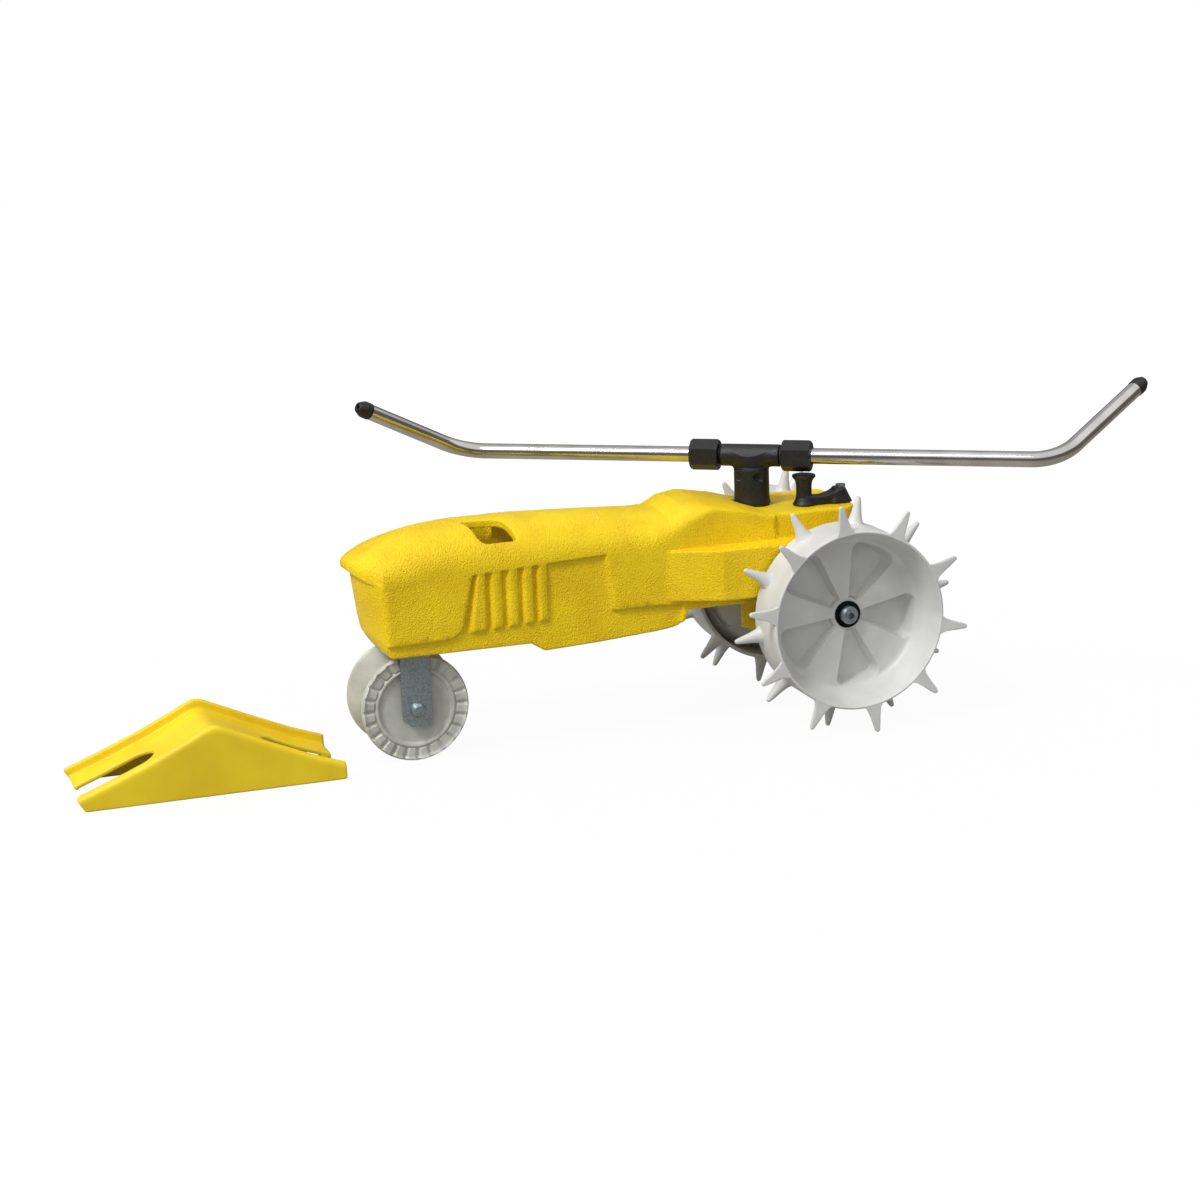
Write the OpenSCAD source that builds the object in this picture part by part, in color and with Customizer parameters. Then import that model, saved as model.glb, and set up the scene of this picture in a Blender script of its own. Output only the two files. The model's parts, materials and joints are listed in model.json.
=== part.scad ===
// Travelling sprinkler: a cast tractor that follows its own hose, driven by its spinning spray arms.
// Millimetres. +X points to the rear, where the water comes in, and +Z points up.
// Places along X are written from the front axle and shifted to the middle by placed().
// Heights in the casting are written from the drive axle, so the body rides on its wheels.

/* [Running gear] */
// Distance between the front axle and the drive axle
wheelbase = 341.4; // [330:0.2:352]
// Radius of a drive wheel's tread
tread_r = 72; // [68:0.5:73]
// Radius to the tip of a spike
spike_tip_r = 93.9; // [88:0.1:96]
// Radius of a spike's rounded tip
spike_round_r = 2; // [1.5:0.1:2.5]
// Radius of a spike where it leaves the tread
spike_root_r = 6.2; // [5:0.1:6.5]
// Spikes in each of a drive wheel's two rows
spikes_per_row = 10; // [8:1:12]
// Width of a drive wheel
drive_wheel_w = 43; // [41:0.5:45]
// Depth of the drive wheel's dish, from its outer lip to its web
dish_depth = 26; // [24:0.5:27]
// Wedge pockets in a drive wheel's web
pocket_count = 5; // [4:1:6]
// Depth of a wedge pocket behind the web
pocket_depth = 12; // [8:0.5:13]
// Wall of the moulded drive wheel
wheel_wall = 3; // [2.5:0.1:3.4]
// Radius of the rear axle
axle_r = 5; // [4.6:0.1:5.2]
// Radius of the front wheel
front_wheel_r = 43; // [41:0.5:44]
// Width of the front wheel over its flanges
front_wheel_w = 56; // [54:0.5:57]
// Radius of the front wheel at the bottom of its hose groove
groove_r = 17; // [15:0.5:18]
// Crimps round each face of the front wheel
crimp_count = 24; // [18:1:28]
// Radius of the front axle bolt
front_bolt_r = 4; // [3.6:0.1:4.3]

/* [Fork] */
// Width of the fork's steel strap
strap_w = 24; // [22:0.5:25]
// Thickness of the fork's steel strap
strap_t = 3; // [2.5:0.1:3.2]
// Radius of the swivel bolt
swivel_bolt_r = 5; // [4.5:0.1:5.5]

/* [Casting] */
// Half the width of the body casting
body_half_w = 45; // [44:0.5:46]
// Wall of the casting
wall = 6; // [5.5:0.1:6.2]
// Depth of the side panel's recess
panel_depth = 2; // [1.5:0.1:2.2]
// Number of louvre grooves on each side
louvre_count = 5; // [4:1:5]
// Half the width over the flared gear housing
housing_half_w = 63; // [62:0.5:63.4]
// Height of the deck above the drive axle
deck_h = 78.5; // [77:0.5:80]

/* [Spray head] */
// Distance from the spinner's axis back to the drive axle
spin_ahead = 46.4; // [45.8:0.1:48]
// Height of the arms above the drive axle
arm_h = 118.9; // [117:0.1:122]
// Direction of the front arm in plan, in degrees from +X
arm_yaw = 146; // [135:1:155]
// Distance from the spinner's axis to the corner of an arm's bend
arm_reach = 246; // [235:1:255]
// Length of the arm's bent end, nozzle cap included
arm_tip = 113; // [105:1:120]
// Angle of the bend in an arm
arm_bend = 58.8; // [50:0.2:62]
// Lean of the bend towards the trailing side, from upright
arm_lean = 59; // [45:1:65]
// Radius of the bend along the middle of the tube
bend_r = 38; // [30:1:45]
// Radius of the arm tube
arm_r = 6.35; // [6:0.05:6.5]
// Radius of the arm tube's bore
arm_bore_r = 5.2; // [4.8:0.05:5.3]

/* [Drive train] */
// Gear module of the worm and its wheel
worm_module = 1.25; // [1.2:0.01:1.28]
// Teeth of the worm wheel
worm_wheel_teeth = 30; // [29:1:31]
// Pitch radius of the worm
worm_pitch_r = 11.5; // [11.4:0.1:11.6]
// Gear module of the pinion and the axle gear
gear_module = 1.5; // [1.49:0.01:1.51]
// Teeth of the sliding pinion
pinion_teeth = 12; // [12:1:13]
// Teeth of the axle gear
axle_gear_teeth = 36; // [35:1:36]
// Face width of the pinion and the axle gear
gear_face = 10; // [8:0.5:10.5]
// Radius of the countershaft
counter_r = 4; // [3.6:0.1:4.2]
// Travel of the pinion along the countershaft, into neutral
pinion_travel = 12; // [11:0.1:12.5]

/* [Water way] */
// Radius of the spinner tube
tube_r = 8; // [7.8:0.05:8.2]
// Radius of the spinner tube's bore
tube_bore_r = 5; // [4.5:0.1:5.5]
// Travel of the shut-off plunger
plunger_travel = 6; // [4:0.5:6]
// Inner radius of the hose swivel's thread
hose_thread_r = 13.1; // [12.9:0.05:13.3]
// Depth of the hose swivel's threaded mouth
hose_mouth = 12; // [10:0.5:13]

/* [Ramp] */
// Length of the ramp
ramp_len = 205; // [190:1:210]
// Height of the ramp's side rails at the ridge
ramp_h = 54; // [50:0.5:56]
// Width of the ramp
ramp_w = 90; // [84:1:96]
// Thickness of a side rail
rail_t = 7; // [6:0.5:8]
// How far the running sheet lies below the rails
sheet_drop = 8; // [6:0.5:9]
// Thickness of the running sheet
sheet_t = 4; // [3.5:0.1:4.4]
// Width of the slots that clear the hose
hose_slot_w = 26; // [24:0.5:28]

/* [Clearances] */
// Gap between bodies that pass each other
pass_gap = 0.3; // [0.3:0.05:0.4]
// Radial gap of a shaft in its bearing
shaft_gap = 0.04; // [0.02:0.01:0.06]

/* [Hidden] */
fine = 48;

// The wheel stands on one spike of each row, so both rows lean half a stagger from straight down.
spike_pitch = 360 / spikes_per_row;
spike_lean = spike_pitch / 4;
axle_z = (spike_tip_r - spike_round_r) * cos(spike_lean) + spike_round_r;

// Places along X, from the front axle.
axle_x = wheelbase;
spin_x = axle_x - spin_ahead;
heel_x = -62;
toe_x = heel_x - ramp_len;
ridge_x = heel_x - ramp_len * 0.488;
ramp_y = -6;

// The arms reach furthest to the rear, so they and the ramp's toe set the middle of the whole set.
tip_out = arm_reach + arm_tip * cos(arm_bend);
tip_side = arm_tip * sin(arm_bend) * sin(arm_lean);
tip_up = arm_tip * sin(arm_bend) * cos(arm_lean);
cap_r = 7;
cap_end_r = 4;
cap_cone = 6;
cap_len = 12;
tip_dir_x = cos(arm_bend) * cos(arm_yaw) - sin(arm_bend) * sin(arm_lean) * sin(arm_yaw);
rear_reach = spin_x - tip_out * cos(arm_yaw) + tip_side * sin(arm_yaw) + cap_end_r * sqrt(1 - tip_dir_x * tip_dir_x);
shift_x = -(toe_x + rear_reach) / 2;

// Wheels across the body.
rim_inner_y = housing_half_w + 3;
rim_outer_y = rim_inner_y + drive_wheel_w;
web_y = rim_outer_y - dish_depth;
hub_inner_y = housing_half_w + 2.4;
row_inner_y = rim_inner_y + 8.5;
row_outer_y = rim_outer_y - 1.6;
washer_t = 1.6;
nut_t = 5.5;

// Drive train, heights from the drive axle.
worm_wheel_r = worm_module * worm_wheel_teeth / 2;
counter_x = spin_x + worm_pitch_r + worm_wheel_r;
gear_centres = gear_module * (pinion_teeth + axle_gear_teeth) / 2;
counter_h = sqrt(pow(gear_centres, 2) - pow(axle_x - counter_x, 2));
gear_y = -14;
tooth_tip = 0.85;
pinion_tip_r = gear_module * (pinion_teeth / 2 + tooth_tip);
axle_gear_tip_r = gear_module * (axle_gear_teeth / 2 + tooth_tip);
worm_wheel_tip_r = worm_wheel_r + worm_module * tooth_tip;
worm_face = 8;
collar_len = 10;
groove_w = 4.4;
worm_len = 14;
worm_root_r = worm_pitch_r - 1.2 * worm_module;
worm_tip_r = worm_pitch_r + tooth_tip * worm_module;
mesh_angle = atan2(-counter_h, axle_x - counter_x);

// Gear bay and the pan that closes it.
bay_near = -50;
bay_far = 12;
bay_reach = axle_gear_tip_r + 1.7;
bay_rear = axle_x + bay_reach;
pan_wall = 3;
tub_reach = bay_reach + pan_wall;
rear_wall = bay_rear + 12.6;
boss_end = rear_wall + 6;
cross_x = bay_rear + 6.4;
deck_end = bay_rear - 1.4;
skirt_h = 7.8;
axle_notch_r = axle_r + 0.6;
lobe_y = abs(bay_near) + pan_wall + 0.3;
lobe_r = 13;
bush_r = axle_r + 3;
screw_places = [
    [axle_x - 25.4, bay_near - 7], [axle_x + 25.4, bay_near - 7],
    [axle_x - 25.4, bay_far + 7], [axle_x + 25.4, bay_far + 7]
];
pan_screw_r = 2;
ear_r = 4.5;

// Water way, heights from the drive axle.
gallery_h = 12;
gallery_r = 4;
gallery_y = 27.5;
boss_r = 11;
chamber_r = 8.5;
boss_bottom = -22.8;
seat_h = 16.2;
seat_t = 2;
socket_r = 10;
tube_bottom = 19;
seal_h = 18.4;
seal_t = 3.2;
carrier_h = 21.7;
floor_h = 25;
spin_bore_r = 13;
bearing_t = 12;
column_r = 17;
stem_r = 3.5;
foot_h = -34.8;
disc_h = 8.1;
nipple_r = 10;
nipple_bore_r = 7;
nipple_len = 12;

// Speed lever.
lever_x = axle_x + 21.6;
lever_y = -23;
lever_arm = 32;
groove_rest_y = gear_y - gear_face - collar_len / 2;
finger_len = (lever_x - counter_x) / cos(17);
finger_rest = asin((lever_y - groove_rest_y) / finger_len);
shift_r = 4;
finger_h = counter_h + 10;
finger_roof = finger_h + 5.5;
deck_bay_near = 2 + wall - body_half_w;

// Fork and front wheel, heights from the drive axle.
front_h = front_wheel_r - axle_z;
fork_inner_y = front_wheel_w / 2 + 2.3;
fork_outer_y = fork_inner_y + strap_t;
bridge_h = front_h + front_wheel_r + 6;
pivot_low = bridge_h + strap_t + 2.3;

module placed() { translate([shift_x, 0, axle_z]) children(); }
module at(x, y, h) { translate([x, y, h]) children(); }
// A cylinder along Y from y0 to y1.
module across(r, y0, y1, fn = fine) {
    translate([0, y0, 0]) rotate([-90, 0, 0]) cylinder(r = r, h = y1 - y0, $fn = fn);
}
// A cylinder along X from x0 to x1.
module along(r, x0, x1, fn = fine) {
    translate([x0, 0, 0]) rotate([0, 90, 0]) cylinder(r = r, h = x1 - x0, $fn = fn);
}
// A pipe standing on h0.
module ring(r_out, r_in, h0, h1) {
    difference() {
        at(0, 0, h0) cylinder(r = r_out, h = h1 - h0, $fn = fine);
        at(0, 0, h0 - 1) cylinder(r = r_in, h = h1 - h0 + 2, $fn = fine);
    }
}
// An outline of [x, h] points carried from y0 to y1.
module side_plate(points, y0, y1) {
    translate([0, y1, 0]) rotate([90, 0, 0]) linear_extrude(height = y1 - y0) polygon(points);
}
// A profile of [radius, y] points turned round the Y axis.
module turned(points, fn = 96) {
    rotate([90, 0, 0]) rotate_extrude($fn = fn) polygon([for (p = points) [p[0], -p[1]]]);
}

// A solid through a row of closed sections that all have the same number of points.
module loft(sections) {
    n = len(sections[0]);
    last = len(sections) - 1;
    skin = [for (i = [0:last - 1], j = [0:n - 1], k = [0, 1])
        let (a = i * n + j, b = i * n + (j + 1) % n)
        k == 0 ? [a, b, b + n] : [a, b + n, a + n]];
    polyhedron(
        points = [for (s = sections, p = s) p],
        faces = concat(skin, [[for (j = [n - 1:-1:0]) j]], [[for (j = [0:n - 1]) last * n + j]]));
}
function polar(r, a) = [r * cos(a), r * sin(a)];

// Involute teeth, thinned a little so that the gears run with backlash.
flank_slack = 0.1;
function inv(a) = tan(a) * 180 / PI - a;
function tooth_half(m, z, r) =
    let (pr = m * z / 2, base = pr * cos(20), a = r > base ? acos(base / r) : 0)
    90 / z - flank_slack / pr * 180 / PI + inv(20) - inv(a);
function gear_outline(m, z, turn) =
    let (pr = m * z / 2, root = pr - 1.2 * m, tip = pr + tooth_tip * m, low = max(pr * cos(20), root + 0.1))
    [for (k = [0:z - 1])
        let (c = turn + k * 360 / z, radii = [for (i = [0:4]) low + (tip - low) * i / 4])
        each concat(
            [polar(root, c - tooth_half(m, z, low))],
            [for (r = radii) polar(r, c - tooth_half(m, z, r))],
            [for (i = [4:-1:0]) polar(radii[i], c + tooth_half(m, z, radii[i]))],
            [polar(root, c + tooth_half(m, z, low))])];

// Heights and widths along the hood, as [x, value] rows. The rear rows move with the drive axle.
hood_top = [
    [-46.6, 68.4], [-42, 70.5], [-29, 75.7], [-3, 84.2], [22.5, 88.7], [51, 90.7], [92, 90.7],
    [154, 88.7], [axle_x - 137, 86.7], [axle_x - 117, 90.4], [axle_x - 101, 91.2],
    [axle_x - 72, deck_h + 7.2], [axle_x - 50, deck_h + 0.8], [axle_x - 40, deck_h], [axle_x + 60, deck_h]
];
hood_shoulder = [
    [-46.6, 67.7], [-42, 62.2], [-37.8, 58.2], [-32.5, 55.7], [-24, 52.2], [20, 57.2],
    [axle_x - 150, 57.2], [axle_x - 116, 73], [axle_x - 97, 82.5], [axle_x - 72, deck_h - 1],
    [axle_x - 50, deck_h - 6], [axle_x + 60, deck_h - 6]
];
hood_round = [[20, 2.2], [axle_x - 150, 2.3], [axle_x - 116, 3], [axle_x - 90, 4.5], [axle_x - 60, 6]];
nose_tip = -46.6;
nose_len = 22.6;
nose_stations = [0, 0.06, 0.16, 0.3, 0.46, 0.64, 0.82, 1];
hood_stations = concat(
    [for (t = nose_stations) nose_tip + 0.25 + t * (nose_len - 0.25)],
    [-14, -3, 9, 22.5, 36, 51, 72, 92, 123, 154, 180],
    [for (d = [-150, -137, -127, -117, -109, -101, -92, -82, -72, -60, -50, -44.5, -43.5]) axle_x + d]);
cavity_stations = concat(
    [-24, -14, -3, 9, 22.5, 36, 51, 72, 92, 123, 154, 180],
    [for (d = [-150, -137, -127, -117, -109, -101, -92, -82, -74]) axle_x + d]);
arch_steps = 18;
brim_t = 2.4;

function hood_half_w(x) =
    x < nose_tip + nose_len ? body_half_w * pow(max(x - nose_tip, 0.01) / nose_len, 0.6)
    : x > axle_x - 44 ? body_half_w - 2 : body_half_w;
// One arch across the body: a superellipse over straight sides. cut is taken off all round.
function arch(x, bottom, cut = 0) =
    let (w = hood_half_w(x) - cut, s = lookup(x, hood_shoulder) - cut * 0.5,
        t = lookup(x, hood_top) - cut, p = 2 / lookup(x, hood_round))
    concat(
        [[x, -w, bottom]],
        [for (i = [0:arch_steps])
            let (a = 180 - 180 * i / arch_steps, c = i == arch_steps / 2 ? 0 : cos(a))
            [x, w * sign(c) * pow(abs(c), p), s + (t - s) * pow(max(sin(a), 0), p)]],
        [[x, w, bottom]]);
function hood_bottom(x) = x < nose_tip + nose_len - 0.01 ? lookup(x, hood_shoulder) - brim_t : -20;

// The raked front under the brim, as [h, x of its middle, how far its corners lie back].
front_levels = [[-6.5, -21.5, 2], [2, -28, 5], [9, -32, 8.5], [21, -34.5, 10.5], [40, -37, 12], [59, -39.4, 13]];
function front_outline(f) =
    concat(
        [for (i = [0:16])
            let (y = body_half_w * (i / 8 - 1))
            [f[1] + f[2] * pow(abs(y) / body_half_w, 1.9), y, f[0]]],
        [[20, body_half_w, f[0]], [20, -body_half_w, f[0]]]);

// The casting's lower edge, the recessed side panel and the inside of the hood, seen from the side.
lower_edge = [
    [-60, -40], [-60, -5.8], [92, -5.8], [103, -12.8], [147, -10.8], [197, -7.3], [axle_x - 122, -5.4],
    [axle_x - 119, skirt_h], [rear_wall + 20, skirt_h], [rear_wall + 20, -40]
];
recess_outline = [
    [-20, 4.5], [16, 5.2], [27, 6.4], [34, 10.2], [37.5, 17], [46, 54.2], [109, 57.5], [155.6, 59.8],
    [162, 15.2], [axle_x - 127, 13.2], [axle_x - 127, -30], [-20, -30]
];
cavity_side = [
    [-21, 90], [-21, 40], [-20, 21], [-19, 9], [-18.2, 3], [-18.2, -30], [axle_x - 74, -30], [axle_x - 74, 90]
];
// One hood slot in plan; its twin lies across the middle.
slot_outline = [
    [47.7, -11.1], [51, -10.9], [66.5, -11.8], [73, -12.8], [76.5, -14.6], [79, -17.8], [81.1, -23.6],
    [83, -29.1], [84.2, -35.4], [83.6, -37.2], [81.8, -37.9], [60, -37.9], [56.6, -36.6], [53.8, -32.5],
    [51.5, -22.9], [49.5, -16.4], [47.2, -12]
];
louvre_places = [57, 70, 83, 95, 107];

// The flared gear housing in plan, drawn in by e for its rounded edges.
flare_back = rear_wall - 4;
function flare_half(e) = [
    [axle_x - 138 + e, body_half_w - 4], [axle_x - 138 + e, body_half_w - 0.5 - e],
    [axle_x - 101, housing_half_w - 2.2 - e], [axle_x - 96, housing_half_w - e],
    [flare_back - 4, housing_half_w - e], [flare_back - e, housing_half_w - 4]
];
function flare_plan(e) =
    let (half = flare_half(e))
    concat(half, [for (i = [len(half) - 1:-1:0]) [half[i][0], -half[i][1]]]);
flare_bottom = 16.2;
flare_top = 57.2;
ledge_h = 52.2;
deck_corner = 14;
// The tee's round foot turns in a spot face that is this much wider.
tee_foot_r = 15;
foot_gap = 1.5;

module louvres() {
    for (i = [0:louvre_count - 1]) at(louvre_places[i], -body_half_w + panel_depth, 0)
        translate([0, 0, 9.5 + i * 0.9]) rotate([0, 0, 45]) translate([-1.5, -1.5, 0]) cube([3, 3, 45.5 + i * 0.6]);
}
// Outer form: hood, raked front, deck and flared gear housing.
module casting_outside() {
    difference() {
        union() {
            loft([for (x = concat(hood_stations, [rear_wall])) arch(x, hood_bottom(x))]);
            loft([for (f = front_levels) front_outline(f)]);
        }
        side_plate(lower_edge, -body_half_w - 9, body_half_w + 9);
        for (side = [-1, 1]) at(0, side * (body_half_w + 5 - panel_depth), 0) side_plate(recess_outline, -5, 5);
        louvres();
        mirror([0, 1, 0]) louvres();
    }
    for (e = [0, 1.2, 2.6]) at(0, 0, flare_bottom + e * 0.7)
        linear_extrude(height = flare_top - flare_bottom - (2.6 - e) * 0.8 - e * 0.7) polygon(flare_plan(2.6 - e));
}
module hood_cavity() {
    difference() {
        intersection() {
            loft([for (x = cavity_stations) arch(x, -26, wall)]);
            side_plate(cavity_side, -body_half_w, body_half_w);
        }
        at(0, 0, pivot_low) cylinder(r = column_r, h = 100, $fn = fine);
    }
}
// Skirt round the gear bay, hangers for the axle, pillars for the pan screws and the passage's rib.
module housing_underside() {
    at(axle_x - tub_reach, bay_near - pan_wall, 0) cube([2 * tub_reach, bay_far - bay_near + 2 * pan_wall, 20]);
    at(axle_x, 0, 0) for (side = [-1, 1]) {
        across(lobe_r, side > 0 ? lobe_y : -housing_half_w, side > 0 ? housing_half_w : -lobe_y);
        at(-lobe_r, side > 0 ? lobe_y : -housing_half_w, 0) cube([2 * lobe_r, housing_half_w - lobe_y, 20]);
    }
    at(axle_x - lobe_r, bay_near - pan_wall - 2, 0) cube([2 * lobe_r, 4, 20]);
    at(axle_x - lobe_r, body_half_w - 6, skirt_h) cube([2 * lobe_r, 16, 12]);
    for (p = screw_places) at(p[0], p[1], 0) cylinder(r = ear_r, h = 20, $fn = fine);
    at(0, gallery_y, gallery_h) along(gallery_r + 2, spin_x - 6, rear_wall - 1);
    at(spin_x, 0, boss_bottom) cylinder(r = boss_r, h = 40, $fn = fine);
    at(0, 0, gallery_h) along(column_r - 1, axle_x + tub_reach + 0.5, boss_end);
}
module gear_bay() {
    difference() {
        union() {
            at(axle_x - bay_reach, bay_near, -1) cube([2 * bay_reach, bay_far - bay_near, 23]);
            at(axle_x - bay_reach, bay_near, 20) cube([2 * bay_reach, 40, finger_roof - 20]);
            at(counter_x - 13, deck_bay_near, 20) cube([42, bay_far - deck_bay_near, deck_h - 29]);
        }
        at(spin_x, 0, -2) cylinder(r = column_r, h = 100, $fn = fine);
    }
    at(counter_x, 0, counter_h) across(worm_wheel_tip_r + 0.6, -worm_face / 2 - 1.5, bay_far);
    at(axle_x, 0, 0) across(axle_notch_r, bay_near - pan_wall - 1, bay_far + pan_wall + 1);
}
module water_way() {
    at(spin_x, 0, boss_bottom - 1) cylinder(r = chamber_r, h = seat_h - boss_bottom + 1.01, $fn = fine);
    at(spin_x, 0, seat_h) cylinder(r = socket_r, h = 20, $fn = fine);
    at(spin_x, 0, floor_h) cylinder(r = spin_bore_r, h = 80, $fn = fine);
    at(spin_x, 0, gallery_h) across(gallery_r, 0, gallery_y);
    at(0, gallery_y, gallery_h) along(gallery_r, spin_x - 3, cross_x + 2);
    at(cross_x, 0, gallery_h) across(gallery_r, -4, gallery_y);
    at(0, 0, gallery_h) along(nipple_bore_r - 1, cross_x - 3, boss_end);
    at(0, 0, gallery_h) along(nipple_r, boss_end - 7, boss_end + 1);
}
module body_casting() {
    color("gold") placed() difference() {
        union() {
            difference() {
                casting_outside();
                hood_cavity();
                at(axle_x - 80, -38, -20) cube([42, 19, 85]);
            }
            housing_underside();
        }
        at(deck_end, -90, ledge_h) cube([60, 180, 60]);
        for (side = [-1, 1]) difference() {
            at(deck_end - deck_corner, side * (body_half_w + 2) - (side > 0 ? 18 : 0), flare_top + 0.01) cube([20, 18, 40]);
            at(deck_end - deck_corner, side * (body_half_w - 2 - deck_corner), 0) cylinder(r = deck_corner, h = 120, $fn = fine);
        }
        for (side = [-1, 1]) scale([1, side, 1]) at(0, 0, 40) linear_extrude(height = 60) polygon(slot_outline);
        at(spin_x, 0, deck_h + pass_gap) cylinder(r = tee_foot_r + foot_gap, h = 40, $fn = fine);
        gear_bay();
        water_way();
        at(0, 0, pivot_low - 1) cylinder(r = swivel_bolt_r, h = 36, $fn = fine);
        at(axle_x, 0, 0) across(bush_r, -housing_half_w - 1, -lobe_y);
        at(axle_x, 0, 0) across(bush_r, lobe_y - 1, housing_half_w + 1);
        at(counter_x, 0, counter_h) across(counter_r + 2, bay_near - 9, bay_far + 7.5);
        at(lever_x, lever_y, finger_roof - 1) cylinder(r = shift_r + shaft_gap, h = 60, $fn = fine);
        for (p = screw_places) at(p[0], p[1], -1) cylinder(r = pan_screw_r, h = 14, $fn = fine);
    }
}
module gear_pan() {
    color("gold") placed() at(axle_x, 0, 0) difference() {
        union() {
            difference() {
                rotate([0, 22.5, 0]) across(tub_reach / cos(22.5), bay_near - pan_wall, bay_far + pan_wall, 8);
                at(-60, -90, 0) cube([120, 180, 60]);
            }
            for (p = screw_places) let (out = p[1] < 0 ? -1 : 1) {
                at(p[0] - axle_x, p[1], -4) cylinder(r = ear_r, h = 4, $fn = fine);
                at(p[0] - axle_x - ear_r, out < 0 ? p[1] : bay_far, -4) cube([2 * ear_r, 7.5, 4]);
            }
        }
        rotate([0, 22.5, 0]) across(bay_reach / cos(22.5), bay_near, bay_far, 8);
        across(axle_notch_r, bay_near - pan_wall - 1, bay_far + pan_wall + 1);
        for (p = screw_places) at(p[0] - axle_x, p[1], -9) cylinder(r = pan_screw_r, h = 14, $fn = fine);
    }
}
pan_screw_len = 15;
module pan_screws() {
    color("silver") placed() for (p = screw_places) at(p[0], p[1], 0) {
        at(0, 0, -4) cylinder(r = pan_screw_r, h = pan_screw_len, $fn = fine);
        difference() {
            at(0, 0, -6.6) cylinder(r = 3.6, h = 2.6, $fn = fine);
            at(0, 0, -7.6) cylinder(r = 2, h = 2.4, $fn = 6);
        }
    }
}

// The ramp, on the ground in front of the tractor.
ramp_rows = [
    [toe_x, 10], [toe_x + 30, 21.4], [toe_x + 60, 33.6], [toe_x + 84, 44.8], [ridge_x - 9, ramp_h - 3],
    [ridge_x - 4, ramp_h - 0.7], [ridge_x, ramp_h], [ridge_x + 5, ramp_h - 0.9], [ridge_x + 12, ramp_h - 4],
    [heel_x - 60, 37], [heel_x - 25, 21.5], [heel_x, 12.5]
];
function rail_h(x) = lookup(x, ramp_rows);
edge_round = 5;
toe_slot = 52;
heel_slot = 43;
function ramp_section(x) =
    let (h = rail_h(x), w = ramp_w / 2)
    concat(
        [[x, -w, 0]],
        [for (a = [0:15:90]) [x, -w + edge_round * (1 - cos(a)), h - edge_round * (1 - sin(a))]],
        [for (a = [90:-15:0]) [x, w - edge_round * (1 - cos(a)), h - edge_round * (1 - sin(a))]],
        [[x, w, 0]]);
module ramp() {
    inside = ramp_w / 2 - rail_t;
    color("gold") translate([shift_x, ramp_y, 0]) difference() {
        loft([for (r = ramp_rows) ramp_section(r[0])]);
        side_plate(
            concat([[toe_x - 1, 70]],
                [for (r = ramp_rows) [r[0] == toe_x ? toe_x - 1 : r[0] == heel_x ? heel_x + 1 : r[0], max(r[1] - sheet_drop, 2)]],
                [[heel_x + 1, 70]]),
            -inside, inside);
        side_plate(
            concat([[toe_x + 8, -1]],
                [for (r = ramp_rows) if (r[0] > toe_x + 8 && r[0] < heel_x - 8) [r[0], max(r[1] - sheet_drop - sheet_t, 0.5)]],
                [[heel_x - 8, -1]]),
            -inside, inside);
        side_plate([[toe_x - 1, -1], [toe_x + 5.7, -1], [toe_x, 9], [toe_x - 1, 9]], -ramp_w, ramp_w);
        for (end = [[toe_x - 1, toe_x + toe_slot], [heel_x - heel_slot, heel_x + 1]])
            at(end[0], -hose_slot_w / 2, -1) cube([end[1] - end[0], hose_slot_w, 50]);
        for (x = [toe_x + toe_slot, heel_x - heel_slot]) at(x, 0, -1) cylinder(r = hose_slot_w / 2, h = 50, $fn = fine);
    }
}

// Fork and front wheel.
module swivel_bolt() {
    color("silver") placed() {
        at(0, 0, bridge_h - 0.5) cylinder(r = swivel_bolt_r, h = 32, $fn = fine);
        at(0, 0, bridge_h - 5) cylinder(r = 8.1, h = 4.7, $fn = 6);
    }
}
module swivel_washer() {
    color("silver") placed() ring(12, swivel_bolt_r, bridge_h + strap_t + 0.3, pivot_low);
}
module front_fork() {
    color("silver") placed() difference() {
        union() {
            at(-strap_w / 2, -fork_outer_y, bridge_h) cube([strap_w, 2 * fork_outer_y, strap_t]);
            for (side = [-1, 1]) at(0, side > 0 ? fork_inner_y : -fork_outer_y, 0) side_plate([
                [-strap_w / 2, bridge_h + 1], [-strap_w / 2, front_h - 8], [-strap_w / 2 + 6, front_h - 14],
                [strap_w / 2 - 6, front_h - 14], [strap_w / 2, front_h - 8], [strap_w / 2, bridge_h + 1]
            ], 0, strap_t);
        }
        at(0, 0, bridge_h - 1) cylinder(r = swivel_bolt_r + shaft_gap, h = strap_t + 2, $fn = fine);
        at(0, 0, front_h) across(front_bolt_r, -fork_outer_y - 1, fork_outer_y + 1);
    }
}
module front_axle_bolt() {
    color("silver") placed() at(0, 0, front_h) {
        across(front_bolt_r, -fork_outer_y, fork_outer_y + 8);
        turned([[0, -fork_outer_y - 4], [3, -fork_outer_y - 3.6], [5.2, -fork_outer_y - 2], [6, -fork_outer_y], [0, -fork_outer_y]]);
    }
}
module front_axle_nut() {
    color("silver") placed() at(0, 0, front_h) difference() {
        across(7, fork_outer_y, fork_outer_y + 5.5, 6);
        across(front_bolt_r, fork_outer_y - 1, fork_outer_y + 7);
    }
}
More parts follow.
